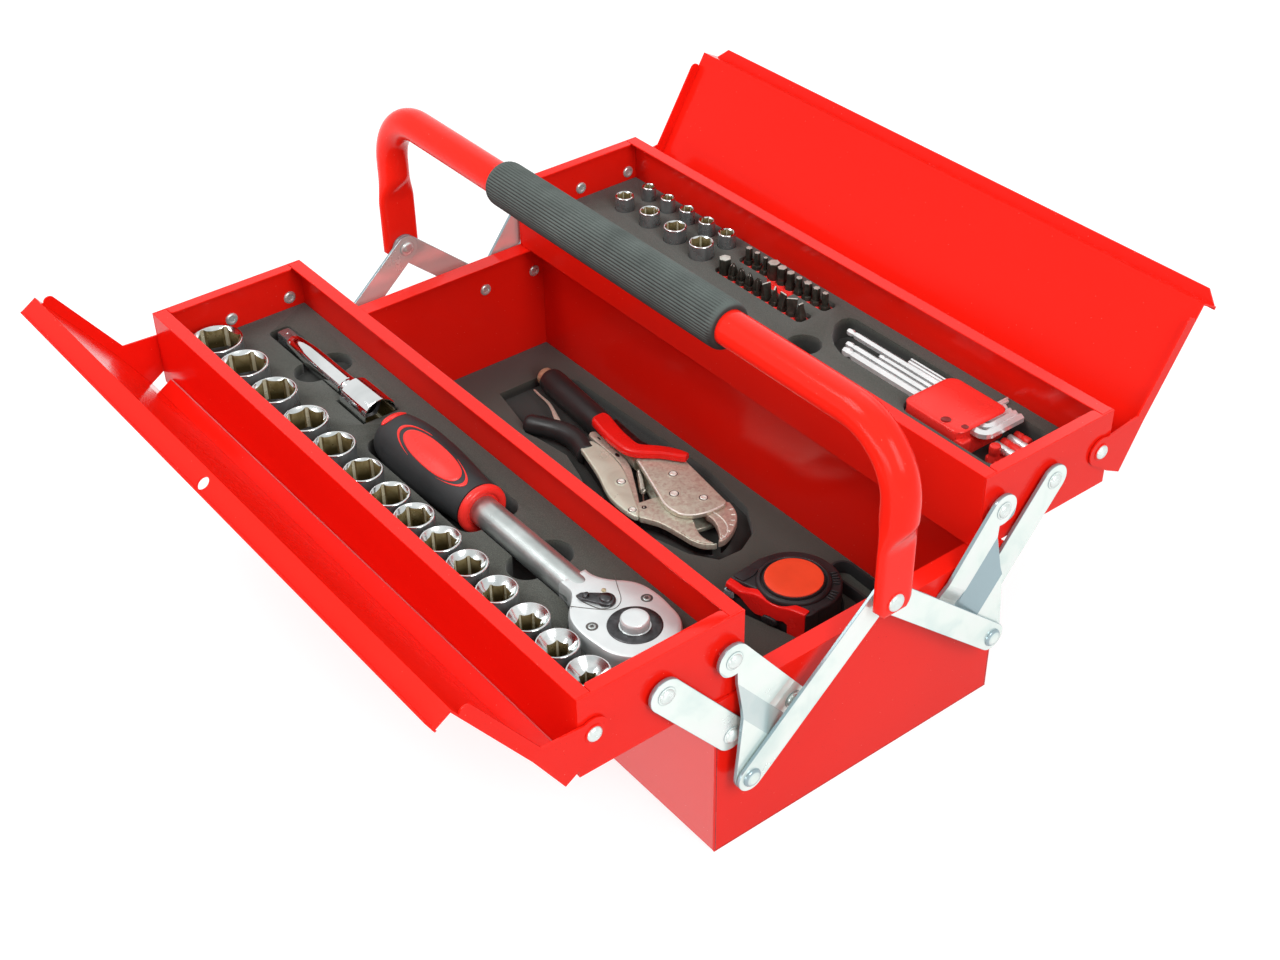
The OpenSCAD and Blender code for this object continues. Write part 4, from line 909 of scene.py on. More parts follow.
s = Shape()
pivot = place((HEAD_X - 22, RY, HEAD_TOP))
hub = [(4.6, 0), (4.6, 0.9), (4.3, 1.5), (3.9, 1.7), (3.1, 1.75), (2.9, 2.3), (2.5, 2.65), (0, 2.72)]
s.plate(capsule((0, 0), (-8.6, -7.2), 4.3, 2.5, 14), 0.1, 1.5, 0.5, 0, pivot, 3)
s.lathe(hub, 0, pivot, 40, OPEN)
s.tube([(-7.8, -6.4, 1.2), (-7.9, -6.5, 1.9), (-8.3, -6.9, 2.3)], [2.1, 2.0, 1.1], 0, pivot, 20)
s.tube([(-6.6, 3.6, -0.3), (-6.6, 3.6, 0.5), (-6.6, 3.6, 0.7)], [1.2, 1.15, 0.6], 1, pivot, 20)
s.piece("ratchet_reverse_lever", [DARK_STEEL_AND_SHADE, BRASS], "ratchet_lever", ["ratchet_lever"], angle=40)


# ---- locking pliers

PLATE_TOP = 29.7
AXIS_Z = 22.7


def dimple(s, x, y, z, r):
    """A pressed rivet: a low halo, a groove painted with shade and a head painted with a highlight, which has
    a small hollow.
    """
    at = place((x, y, z))
    halo = ((1.7, -0.1), (1.55, 0.12), (1.3, 0.2), (1.2, 0.16))
    groove = ((1.2, 0.16), (1.1, 0.06), (0.97, 0.05))
    head = ((0.97, 0.05), (0.93, 0.42), (0.78, 0.62), (0.5, 0.5), (0.3, 0.34), (0, 0.3))
    for mat, profile in ((0, halo), (2, groove), (1, head)):
        s.lathe([(r * a, h) for a, h in profile], mat, at, 40, OPEN)


def teeth(line, depth, pitch=1.25):
    """The line with a row of fine teeth; depth is measured to the left of its run."""
    pts = flow(line, 8, False)
    out, walked, tip = [pts[0]], 0.0, True
    for a, b in zip(pts, pts[1:]):
        step = (b - a).length
        while walked + step >= pitch / 2:
            t = (pitch / 2 - walked) / step
            a = a + (b - a) * t
            step = (b - a).length
            walked = 0.0
            d = (b - a).normalized() if step > 1e-6 else Vector((1, 0))
            out.append(a + Vector((-d.y, d.x)) * (depth if tip else 0.0))
            tip = not tip
        walked += step
    return out + [pts[-1]]


# the plate that the jaws turn on, its twin below and the shell that the screw enters, which is dark as
# painted shade in the handle's channel
CURVE = [
    (-47.5, 50.9), (-34, 46.7), (-21, 42.4), (-11, 39.1), (-6.7, 37.5), (-2, 36.2), (4, 35.8), (9, 36.6),
    (13.4, 38.8), (16.8, 42.6), (18.9, 47), (20.2, 52), (20.8, 57.5), (20.6, 62.6),
]
front_edge = flow(CURVE, 3, False)
plate_line = front_edge + [
    (20.2, 64.9), (18.8, 66.4), (-6, 70.0), (-28, 73.2), (-40, 71.6), (-50, 66.5), (-57, 60)
]
web = [(-60, 54), (-45, 60), (-28, 70), (18, 63), (19.5, 66), (-28, 72.6), (-47, 68), (-60, 60)]
shell = [
    (-88, 58), (-56, 55), (-48, 57), (-38, 66), (-26, 71.4), (-29, 73.0), (-40, 71.2), (-50, 66.4),
    (-60, 64.4), (-88, 66.8),
]
s = Shape()
s.plate(plate_line, PLATE_TOP - 3.2, PLATE_TOP, 0.6)
s.plate(plate_line, 15.7, 18.7, 0.6)
s.plate(web, 18.4, PLATE_TOP - 2.9, 0.5)
# the rolled front edge is in the rim tone, with its painted highlight
s.tube(
    [(p.x, p.y + 0.75 * (1 if p.x < 10 else 0.2), PLATE_TOP - 0.12) for p in front_edge[1:]], 0.62, 1, n=12
)
s.plate(shell, PLATE_TOP - 0.4, PLATE_TOP + 0.5, 0.3, 2)
for x, y, r in ((-21.4, 58.8, 2.3), (-5.7, 46.9, 2.5), (8.2, 58.0, 2.3)):
    dimple(s, x, y, PLATE_TOP, r)
rows = []
for k in range(13):
    t = k / 12
    rows.append(upright_ring(-90 + 40 * t, 60.4 - 2.6 * t, AXIS_Z, 8.0 - 1.4 * t, 40))
s.loft(rows)
s.piece("pliers_upper_handle", [NICKEL, RIM_HIGHLIGHT, DARK_STEEL_AND_SHADE], "box", ["pliers_fixed_handle"], angle=34)

# jaws
MOUTH_OUT = [(42.9, 40.4), (39.0, 44.9), (32.7, 48.7), (25.2, 51.2), (19.6, 50.8)]
OUTER = [
    (19.0, 69.0), (24.5, 67.6), (29.8, 65.2), (34.4, 61.6), (38.0, 57.1), (41.2, 51.8), (43.6, 46.0),
    (43.9, 42.6), (42.9, 40.4),
]
outer = flow(OUTER, 5, False)
jaw = outer[::-1] + [(14, 66), (14, 52)] + teeth(MOUTH_OUT[:0:-1], -0.45)
jaw_core = outer[::4][::-1] + [(14, 66), (14, 54), (21, 53.4), (26, 53.6), (33.6, 51), (39.6, 47.2)]
band = flow([(42.6, 43.4), (41.0, 48.3), (36.6, 52.6), (30.4, 55.2), (24.0, 55.8), (20.5, 55.2)], 5, False)
s = Shape()
# the core below the jaw plate is dark as painted shade
s.plate(offset(jaw_core, 1.2), 17.7, 23.4, 0.3, 2)
s.plate(jaw, 22.9, 27.6, 0.7)
# the band and the short strokes on the jaw are in the rim tone, with its painted highlight
s.tube([(p.x, p.y, 27.62) for p in band], 0.42, 1, n=10)
for a in range(7):
    i = int((0.16 + 0.12 * a) * (len(outer) - 1))
    d = (outer[i + 1] - outer[i]).normalized()
    inner = Vector((d.y, -d.x))
    s.tube([(*(outer[i] + inner * 0.9), 27.6), (*(outer[i] + inner * 3.4), 27.65)], [0.42, 0.3], 1, n=8)
s.piece("pliers_upper_jaw", [NICKEL_ROSE, RIM_HIGHLIGHT, DARK_STEEL_AND_SHADE], "box", ["pliers_fixed_jaw"], angle=34)

LOW_LINE = [
    (-15.6, 27.5), (-10.4, 23.2), (-4.1, 19.9), (0.5, 22.6), (5.7, 25.3), (11, 26.9), (17, 27.8),
    (23.7, 28.8), (30.5, 29.6), (36.4, 31.4), (40, 34), (42.2, 37), (42.9, 39.3),
]
MOUTH_LOW = [(42.9, 39.3), (40.4, 37.4), (37.4, 36.2), (32.8, 35.9), (28, 36.9), (22.4, 39.3), (17.2, 42.6)]
LOW_BACK = [(12, 44), (2, 43), (-6.4, 41.5), (-13.5, 39.2)]
BLOCK_LINE = [(22.4, 29.3), (30.5, 30.2), (36.2, 32.0), (39.6, 34.4), (41.6, 37.0)]
BLOCK_TEETH = [(41.6, 37.6), (37.4, 36.5), (32.8, 36.2), (28, 37.2), (22.4, 39.6), (18.6, 42.0)]
s = Shape()
# the core below the jaw plate, and the dot where the hook wire enters, are dark as painted shade
s.plate(offset(LOW_LINE + MOUTH_LOW[1:] + LOW_BACK, 1.4), 17.7, 23.0, 0.3, 2)
s.plate(LOW_LINE + teeth(MOUTH_LOW, -0.45)[1:] + LOW_BACK, 22.4, 26.4, 0.5)
s.plate(BLOCK_LINE + teeth(BLOCK_TEETH, -0.4) + [(19.4, 36.4)], 25.9, 27.0, 0.35)
s.lathe([(1.55, 0.06), (1.5, 0.0), (0, 0.0)], 2, place((-9.8, 27.7, 26.43)), 24, OPEN)
s.piece("pliers_lower_jaw", [NICKEL, RIM_HIGHLIGHT, DARK_STEEL_AND_SHADE], "box", ["pliers_moving_jaw"], angle=34)

# lower handle: a pressed channel, with its far wall behind; the core under the near wall and two ovals on the
# far wall are painted shade
NEAR_WALL = [
    (-82, 42.6), (-80.8, 34), (-73.9, 31.4), (-62, 28.2), (-50.9, 24.9), (-41, 21.1), (-31.6, 17.9),
    (-24, 16.6), (-14, 16.2), (-6.2, 17.2), (-4.6, 19.4), (-9.5, 23.2), (-20.5, 28.6), (-33, 34.6),
    (-45.9, 40.2), (-56, 42.8), (-66.4, 44.2), (-75, 44.2),
]
FAR_WALL = [
    (-90, 47.0), (-78, 45.9), (-64, 45.2), (-51, 42.6), (-38, 36.6), (-24, 30.2), (-14.6, 25.4),
    (-13.2, 27.0), (-22, 32.6), (-35, 40), (-46.4, 46.2), (-57, 49.2), (-68, 50.2), (-80, 51.2), (-90, 52.2),
]
near_wall = flow(NEAR_WALL, 3)
s = Shape()
s.plate(offset(near_wall, 1.8), 14.2, 24.4, 0.4, 2)
s.plate(near_wall, 23.9, 27.7, 1.0, n=4)
s.plate(flow(FAR_WALL, 3), 14.6, 26.0, 0.7, 3)
for x, y, w, h, turn in ((-61.5, 47.4, 2.2, 1.25, -8), (-82.5, 49.2, 2.0, 0.6, -6)):
    s.plate([(w * c, h * q) for c, q, _ in ring(1, 24)], 25.9, 26.04, 0.05, 2, place((x, y, 0), turn), 1)
dimple(s, -36.8, 31.5, 27.7, 2.4)
dimple(s, -10.9, 19.9, 27.7, 2.1)
walls = [NICKEL_PALE, RIM_HIGHLIGHT, DARK_STEEL_AND_SHADE, NICKEL_ROSE]
s.piece("pliers_lower_handle", walls, "box", ["pliers_moving_handle"], angle=34)

# return spring with its hook wire
a, b = Vector((-42.6, 50.0, 22.6)), Vector((-25.4, 38.9, 23.4))
d = (b - a).normalized()
side = d.orthogonal().normalized()
up = d.cross(side)
TURNS, PER_TURN, COIL_R = 19, 14, 1.85
coil = []
for k in range(TURNS * PER_TURN + 1):
    t = TAU * k / PER_TURN
    reach = (b - a).length * k / (TURNS * PER_TURN)
    coil.append(a + d * reach + side * (COIL_R * math.cos(t)) + up * (COIL_R * math.sin(t)))
hook = [
    (-22.6, 37.0, 23.6), (-18, 33.6, 24.2), (-12.4, 29.4, 25.6), (-10.4, 28.0, 26.6), (-9.7, 27.4, 26.4),
    (-9.5, 27.2, 25.8),
]
s = Shape()
s.tube(coil, 0.36, n=8)
s.tube([coil[-1], b + d * 0.8] + hook, 0.38, n=10)
s.tube([coil[0], a - d * 1.2, (-44.6, 52.0, 22.2)], 0.38, n=10)
s.piece("pliers_return_spring", [SPRING], "box", angle=60)

# release lever: a folded red strip, as (x, y, half its width)
LEVER = [
    (-92.5, 56.6, 5.0), (-89.5, 56.4, 6.2), (-80, 54.4, 6.2), (-70, 52.8, 6.0), (-61, 52.2, 5.8),
    (-54.5, 52.4, 5.4), (-49.5, 54.6, 5.0), (-45, 59.2, 4.7), (-40, 64.2, 4.5), (-34.5, 68.2, 4.2),
    (-29, 71.4, 3.6), (-25.6, 73.2, 2.6),
]
FOLD = [(0, 33.0), (0.25, 34.0), (0.8, 34.75), (1.7, 35.2), (2.5, 35.35)]
spine = flow(LEVER, 4, False)
rows = []
for i, p in enumerate(spine):
    d = spine[min(i + 1, len(spine) - 1)] - spine[max(i - 1, 0)]
    side = Vector((-d.y, d.x, 0)).normalized()
    w = p.z
    left, right = [(w - u, z) for u, z in FOLD], [(u - w, z) for u, z in FOLD[::-1]]
    section = [(-w, 30.95), (w, 30.95), *left, (0, 35.4), *right]
    rows.append([(p.x + side.x * u, p.y + side.y * u, z) for u, z in section])
s = Shape()
s.loft(rows)
s.piece("pliers_release_lever", [LEVER_RED], "box", ["pliers_release"], angle=42)

# dipped grips, the thin link between them and the adjusting screw
DIP = [
    (0, 5.2), (0.15, 6.6), (0.7, 7.6), (1.8, 8.35), (4, 8.8), (8, 9.0), (20, 9.0), (34, 8.95), (48, 9.0),
    (58, 8.95), (66, 8.6), (72, 8.35), (75, 8.3), (75.7, 7.8),
]
a, b = Vector((-159.4, 66.6, AXIS_Z)), Vector((-84, 59.8, AXIS_Z))
d = (b - a).normalized()
side = Vector((-d.y, d.x, 0))
s = Shape()
s.loft([[a + d * q + side * u + Vector((0, 0, v)) for u, v, _ in ring(r, 48)] for q, r in DIP])
LOWER_GRIP = [
    (-130.0, 27.4), (-124.5, 29.8), (-117, 34.2), (-108, 38.8), (-99, 40.6), (-90, 40.0), (-81, 37.6),
    (-77.4, 36.6),
]
SIZES = [
    (0, 3.2), (0.03, 5.4), (0.09, 6.5), (0.2, 6.7), (0.34, 6.5), (0.5, 7.0), (0.7, 7.0), (0.9, 6.9),
    (0.97, 7.1), (1, 6.6),
]
path = flow(LOWER_GRIP, 4, False)
radii = [between(SIZES, i / (len(path) - 1)) for i in range(len(path))]
s.tube([(p.x, p.y, 21.6) for p in path], radii, n=40)
s.piece("pliers_dipped_grips", [GRIP_RUBBER], "box", ["pliers_grips"], angle=50)

LINK = [
    (-158.4, 53.2), (-157.6, 54.4), (-150, 53.6), (-141, 53.2), (-133, 51.2), (-124, 48.2), (-114, 44.8),
    (-117, 42.4), (-126, 45.6), (-134, 49.2), (-141.4, 51.4), (-150, 52.2),
]
s = Shape()
s.plate(flow(LINK, 3), 19.6, 20.6, 0.3, n=2)
s.piece("pliers_link_blade", [NICKEL_ROSE], "box", angle=40)

SCREW = [
    (0, 4.6), (0, 5.4), (0.5, 5.9), (1.2, 6.0), (3.6, 6.0), (4.3, 5.8), (5.1, 5.1), (5.9, 3.9), (6.5, 2.5),
    (6.8, 1.2), (6.86, 0.2),
]
s = Shape()
rows = []
for h, r in SCREW:
    knurl = 0.16 if 0.5 < h < 4.4 else 0.0
    section = wavy([r - knurl * (k % 2) for k in range(72)])
    rows.append([(-160.2 - h, 66.4 + u, AXIS_Z + v) for u, v in section])
s.loft(rows)
s.piece("pliers_adjusting_screw", [BRASS], "box", ["pliers_screw"], angle=38)


# ---- measuring tape

TAPE = place((104, 43, 0), 16)
UPRIGHT = TAPE @ Matrix(((1, 0, 0, 0), (0, 0, -1, 0), (0, 1, 0, 0), (0, 0, 0, 1)))
SIDEWAYS = TAPE @ Matrix(((0, 0, -1, 0), (1, 0, 0, 0), (0, 1, 0, 0), (0, 0, 0, 1)))
CASE_TOP = 36.1
DISC = TAPE @ place((0, 0, CASE_TOP))
case_line = arc(0, 0, 26.8, range(-12, 163, 5))
case_line += [(-27.0, 6.0), (-28.6, -3.0), (-30.4, -11.0), (-30.7, -16.9), (20.9, -16.9), (23.4, -12.6)]
case_rim = [
    (21.3, -0.6), (21.1, 0.5), (20.5, 1.5), (19.6, 2.1), (18.9, 2.2), (18.5, 1.9), (18.3, 1.3), (18.0, 1.15),
    (17.7, 1.3), (17.5, 2.2), (17.2, 2.7), (16.7, 2.8), (16.4, 2.5), (16.4, 1.6),
]
s = Shape()
s.plate(case_line, 5.2, CASE_TOP, 1.5, 0, TAPE, 4)
s.lathe(case_rim, 0, DISC, 80, OPEN)
for a in (-3, 2.5, 8, 13.5, 31, 36.5, 42, 47.5, 53):
    c, q = math.cos(math.radians(a)), math.sin(math.radians(a))
    ridge = ((21.6, 36.0), (22.0, 36.5), (24.6, 36.45), (25.4, 36.1), (25.8, 35.4))
    s.tube([(r * c, r * q, z) for r, z in ridge], [0.5, 0.62, 0.62, 0.56, 0.4], 0, TAPE, 10)
for outline, r, n, low, high, bevel, steps in (
    ([(-29.6, -15.6), (-22.5, -16.2), (-20.5, -9), (-21, -3), (-27.6, -4.2)], 1.2, 3, 35.6, 36.9, 0.4, 2),
    ([(-30.2, -20.6), (14, -20.6), (14, -16.5), (-30.2, -16.5)], 0.6, 2, 6, 27, 0.5, 2),
    ([(20.4, -21.4), (22.6, -18.6), (24.2, -13), (19, -13), (19, -21.4)], 0.8, 3, 5.6, 36.2, 0.7, 3),
):
    s.plate(fillet(outline, r, n), low, high, bevel, 0, TAPE, steps)
s.piece("tape_measure_case", [TAPE_RUBBER], "box", ["tape_case"], angle=38)

TOP_EDGE = [
    (20.6, 37.2), (17.0, 37.4), (11.7, 37.0), (5.7, 35.4), (1.5, 34.9), (-2.9, 35.2), (-6.6, 36.2),
    (-10.9, 36.6), (-15.9, 35.4), (-20.9, 34.0), (-25.3, 35.0), (-30.2, 36.0),
]
LOW_EDGE = [
    (-31.0, 32.6), (-26.4, 31.0), (-21.4, 29.6), (-16.2, 25.4), (-12.6, 23.2), (-9.2, 22.4), (-1.8, 23.2),
    (3.1, 24.4), (7.2, 25.6),
]
bumper = [(9.4, 24.6), (9.6, 6.4), (20.6, 6.4)] + flow(TOP_EDGE, 4, False) + flow(LOW_EDGE, 4, False)
s = Shape()
s.plate(bumper, 16.4, 22.0, 1.1, 0, UPRIGHT, 5)
s.piece("tape_measure_bumper", [BUMPER], "box", ["tape_bumper"], angle=50)

s = Shape()
face = [(16.45, 2.2), (16.45, 3.0), (16.3, 3.2), (15.9, 3.3), (12, 3.34), (6, 3.38), (0, 3.4)]
s.lathe(face, 0, DISC, 80, FOOT)
s.piece("tape_measure_disc", [LABEL], "box", ["tape_label"], angle=50)

s = Shape()
s.plate(
    fillet([(-7.6, 20.6), (4.4, 20.6), (4.4, 28.4), (-7.6, 28.4)], 2.6, 5), 19.8, 21.9, 0.6, 0, UPRIGHT, 3
)
s.plate(capsule((-3.4, 23.4), (1.4, 23.4), 2.5, 2.5, 12), 21.6, 23.6, 0.9, 0, UPRIGHT, 4)
for x in (-4.2, -2.6, -1.0, 0.6, 2.2):
    s.plate(capsule((x, 21.9), (x, 24.9), 0.32, 0.32, 5), 23.3, 23.75, 0.14, 0, UPRIGHT, 2)
s.piece("tape_measure_lock", [TAPE_RUBBER], "box", ["tape_lock"], angle=45)

s = Shape()
hook_side = [(-22.0, 15.2), (-12.4, 15.2), (-12.4, 30.8), (-22.0, 30.8)]
hook_top = [(-31.4, 26.4), (-25, 26.4), (-25, 30.6), (-31.4, 30.6)]
s.plate(fillet(hook_side, 1.2, 3), 30.35, 31.45, 0.3, 0, SIDEWAYS, 2)
s.plate(fillet(hook_top, 0.8, 3), 21.1, 21.95, 0.25, 0, UPRIGHT, 2)
for z in (20, 25):
    s.tube([(-31.3, -17, z), (-31.7, -17, z), (-31.95, -17, z)], [1.3, 1.2, 0.5], 0, TAPE)
s.piece("tape_measure_hook", [ZINC], "box", ["tape_hook"], angle=38)

# wrist strap: a loop of webbing on edge
s = Shape()
steps = (0.15, 0.3, 0.45, 0.6, 0.75, 0.9)
loop = arc(106.5, 78.2, 8, range(90, 271, 12))
loop += [(106.5 + 39.5 * t, 70.2 + 0.5 * math.sin(math.pi * t)) for t in steps]
loop += arc(146, 78.2, 8, range(-90, 91, 12))
loop += [(146 - 39.5 * t, 86.2 - 0.6 * math.sin(math.pi * t)) for t in steps]
rows = [
    (0.05, 20.5), (0.0, 20.25), (0.75, 20.2), (1.55, 20.25), (1.6, 20.5), (1.6, 24.2), (1.6, 27.8),
    (1.5, 28.1), (0.75, 28.2), (0.05, 28.1), (0.0, 27.8), (0.0, 24.2),
]
s.terrace(loop, rows, 0, None, OPEN, wrap=True)
s.piece("tape_wrist_strap", [WEBBING], "box", ["tape_strap"], angle=50)


# ---- driver bits and their holders

BIT_TOP, BIT_LOW, SHOULDER = 126.9, 107.0, 118.7
TIP = BIT_TOP - 0.1
STAR, CROSS = (6, 0.24), (4, 0.46)  # how many lobes a section has, and how deep they are


def prism(s, x, y, rows, mat, turn, lobes=None):
    """Stacked rings (radius, height) of a hexagon, or of a section waved by lobes."""
    rings = []
    n = 48 if lobes else 6
    for r, z in rows:
        points = []
        for k in range(n):
            a = turn + TAU * k / n
            q = r * (1 - lobes[1] * (0.5 + 0.5 * math.cos(lobes[0] * a))) if lobes else r
            points.append((x + q * math.cos(a), y + q * math.sin(a), z))
        rings.append(points)
    s.loft(rings, mat)


def blade_tip(s, x, y, r, turn):
    """A flat driver's blade with its bright edge."""
    u, v = Vector((math.cos(turn), math.sin(turn))), Vector((-math.sin(turn), math.cos(turn)))
    steps = [(2.6, 2.4, SHOULDER - 0.5), (max(r * 0.8, 2.2), 1.7, SHOULDER + 2.0)]
    steps += [(r, 0.85, BIT_TOP - 2.6), (r, 0.42, BIT_TOP - 0.2)]
    rows = []
    for half, thick, z in steps:
        side = [(-half, thick), (-half * 0.3, thick * 1.12), (half * 0.3, thick * 1.12), (half, thick)]
        pts = [(p, -q) for p, q in side] + side[::-1]
        rows.append([(x + u.x * p + v.x * q, y + u.y * p + v.y * q, z) for p, q in pts])
    s.loft(rows, 0, None, FOOT)
    edge = [(x + (a - x) * 0.9, y + (b - y) * 0.9, BIT_TOP) for a, b, c in rows[-1]]
    s.loft([rows[-1], edge], 1, None, HEAD)


def bit(s, x, y, kind, size, turn):
    """A hexagon-shank bit that stands point up; the worn end is bright."""
    shank = [(3.2, BIT_LOW), (3.55, BIT_LOW + 0.5), (3.55, SHOULDER - 1.0), (3.0, SHOULDER)]
    prism(s, x, y, shank, 0, turn)
    r = size / 2
    if kind == "hex":
        if r > 3.4:
            rows = [(r * 0.8, SHOULDER - 3), (r, SHOULDER - 2.2), (r, BIT_TOP - 0.5), (r - 0.35, TIP)]
        else:
            neck = [(3.0, SHOULDER - 0.5), (r * 1.05, SHOULDER + 1.2), (r, SHOULDER + 1.6)]
            rows = neck + [(r, BIT_TOP - 0.4), (r - 0.3, TIP)]
        prism(s, x, y, rows, 0, turn)
        prism(s, x, y, [(r - 0.3, TIP), (r * 0.5, BIT_TOP)], 1, turn)
    elif kind == "star":
        rows = [(r * 0.9, SHOULDER - 0.5), (r, SHOULDER + 1.2), (r, BIT_TOP - 0.5), (r * 0.9, TIP)]
        prism(s, x, y, rows, 0, turn, STAR)
        prism(s, x, y, [(r * 0.9, TIP), (r * 0.55, BIT_TOP)], 1, turn, STAR)
    elif kind == "cross":
        neck = [(r, SHOULDER - 0.5), (r * 1.02, SHOULDER + 2.6)]
        point = [(r * 0.62, BIT_TOP - 2.2), (r * 0.2, BIT_TOP - 0.15), (r * 0.08, BIT_TOP)]
        prism(s, x, y, neck + point, 0, turn, CROSS)
        for k in range(2):
            a = turn + math.pi / 2 * k
            u, v = 0.5 * r * math.cos(a), 0.5 * r * math.sin(a)
            ridge = [(x - u, y - v, BIT_TOP - 2.0), (x, y, BIT_TOP - 0.14), (x + u, y + v, BIT_TOP - 2.0)]
            s.tube(ridge, [0.16, 0.2, 0.16], 1, n=6)
    else:
        blade_tip(s, x, y, r, turn)


OUTER_BITS = [
    ("star", 4.6), ("star", 4.0), ("star", 3.0), ("hex", 8.0), ("hex", 6.4), ("hex", 5.4), ("hex", 4.4),
    ("star", 5.6), ("star", 4.8), ("star", 4.2),
]
INNER_BITS = [
    ("hex", 8.0), ("cross", 5.8), ("cross", 5.6), ("cross", 5.2), ("cross", 6.4), ("flat", 5.6),
    ("flat", 4.6), ("flat", 5.2), ("flat", 6.4), ("flat", 3.4),
]
BIT_X, BIT_PITCH, OUTER_Y, INNER_Y = -70, 7.6, 157.7, 138.5
s = Shape()
for y, row in ((OUTER_Y, OUTER_BITS), (INNER_Y, INNER_BITS)):
    for i, (kind, size) in enumerate(row):
        bit(s, BIT_X + BIT_PITCH * i, y, kind, size, 0.4 + 0.83 * i)
s.piece("driver_bit_rows", [BIT, BIT_END], "rear_tray", ["driver_bits"], angle=26)

RACK_LOW, RACK_TOP = 104.6, 115.6
mouth = [(4.35, -0.2), (4.3, 0.35), (4.1, 0.55), (3.85, 0.5), (3.75, 0.2), (3.75, -0.3)]
s = Shape()
for y in (INNER_Y, OUTER_Y):
    outline = fillet([(-74.7, y - 5), (3.1, y - 5), (3.1, y + 5), (-74.7, y + 5)], 3, 6)
    s.plate(outline, RACK_LOW, RACK_TOP)
    for i in range(10):
        s.lathe(mouth, 0, place((BIT_X + BIT_PITCH * i, y, RACK_TOP)), 32, OPEN)
s.plate(fillet([(-46.4, 143), (-23.6, 143), (-23.6, 169), (-46.4, 169)], 1.5, 4), RACK_LOW, RACK_TOP - 1)
s.piece("bit_rack", [PLASTIC], "rear_tray", ["bit_holders"], angle=40)


# ---- hexagon keys and their holders

KEY_Z = 119.5
KEYS = [  # y, size, start in x, then where the arm ends
    (132.2, 5, 41.5, 150.6, 160.3), (138.1, 4, 38.0, 145.9, 161.0), (143.2, 3, 59.5, 142.2, 161.0),
    (147.9, 4, 28.5, 138.5, 161.0), (152.0, 2, 74.0, 135.3, 166.4), (154.8, 1.5, 73.0, 133.4, 168.3),
]
BALL_END = (
    (0, 0.42), (0.18, 0.8), (0.5, 0.98), (0.95, 0.98), (1.25, 0.72), (1.42, 0.66), (1.7, 0.9), (1.85, 1.0)
)


def hex_bar(s, rows):
    """A six-sided bar through rows of (x, y, radius); its sides keep upright through the bend."""
    path = [Vector((x, y, KEY_Z)) for x, y, _ in rows]
    rings = []
    for i, (p, (_, _, r)) in enumerate(zip(path, rows)):
        d = heading(path, i)
        side = Vector((-d.y, d.x, 0))
        turns = [TAU * k / 6 + TAU / 12 for k in range(6)]
        rings.append([p + side * (r * math.cos(a)) + Vector((0, 0, r * math.sin(a))) for a in turns])
    s.loft(rings)


s = Shape()
for y, d, x0, arm_x, arm_y in KEYS:
    r = d * 0.56
    bend = min(max(d * 0.9, 1.6), arm_x - x0 - 2)
    rows = [(x0, y, r * 0.8), (x0 + 0.3, y, r)]
    if d >= 3:
        rows = [(x0 + h * d, y, r * share) for h, share in BALL_END]
    for k in range(9):
        a = math.pi / 2 * k / 8
        rows.append((arm_x - bend + bend * math.sin(a), y + bend - bend * math.cos(a), r))
    hex_bar(s, rows + [(arm_x, arm_y - 0.4, r), (arm_x, arm_y, r * 0.82)])
for y, r in ((150.4, 2.3), (139.8, 2.6)):
    peg = [
        (152.0, 0.5), (152.4, 0.1), (152.9, 0), (160.5, 0), (161, 0.35), (161.6, 0.35), (162.1, 0), (168.2, 0)
    ]
    s.rod(y, 111.6, [(x, r - cut) for x, cut in peg + [(168.8, 0.3), (169, 0.8)]], 0, 28)
s.piece("hexagon_key_set", [KEY], "rear_tray", ["hex_keys"], angle=28)

s = Shape()
outline = fillet([(102, 119), (144.4, 119), (144.4, 157.4), (102, 157.4)], [5, 6, 5, 7], 7)
s.terrace(outline, [(0.8, 105.4), (0, 106.2), (0, 116.0)])
lid = [(0.6, 121.95), (0.15, 122.1), (0.0, 122.4), (0.3, 122.9), (0.9, 123.3), (1.8, 123.55), (3.0, 123.6)]
s.terrace(outline, lid)
core = [
    (103.5, 119.0), (142.5, 119.0), (142.5, 135.5), (139.6, 141.0), (135.6, 145.4), (133.4, 149.8),
    (131.6, 152.4), (130.6, 156.4), (103.5, 156.4),
]
s.plate(fillet(core, [3, 3, 1, 1, 1, 1, 1, 2, 4], 3), 115.9, 122.0, 0.1)
foot = [(141, 119.1), (147.4, 119.1), (147.4, 127.2), (141, 127.2)]
s.plate(fillet(foot, [0.1, 2.4, 2.4, 0.1], 5), 106, 118.4, 0.9)
# the shallow hole and the notch beside it are painted shade
at = place((130.7, 123.1, 123.6))
s.lathe([(3.5, -0.05), (3.35, 0.14), (3.1, 0.2), (2.9, 0.14)], 0, at, 36, OPEN)
s.lathe([(2.9, 0.14), (2.75, 0.05), (0, 0.03)], 1, at, 36, OPEN)
s.plate(
    fillet([(139.6, 124.4), (143.4, 124.4), (143.4, 128.2), (139.6, 128.2)], 1.4, 4), 123.3, 123.68, 0.12, 1
)
s.plate(fillet([(153, 131), (169, 131), (169, 156), (153, 156)], 1.5, 4), 105.3, 108.9, 0.4)
for y, r, x1 in ((155.5, 2.5, 163), (145.3, 2.7, 169)):
    peg = [(152, 0.9), (152.3, 0.3), (153, 0), (156.5, 0), (157, 0.4), (157.6, 0.4), (158.1, 0)]
    s.rod(y, 111.3, [(x, r - cut) for x, cut in peg + [(x1 - 1, 0), (x1 - 0.3, 0.35), (x1, 1)]], 0, 28)
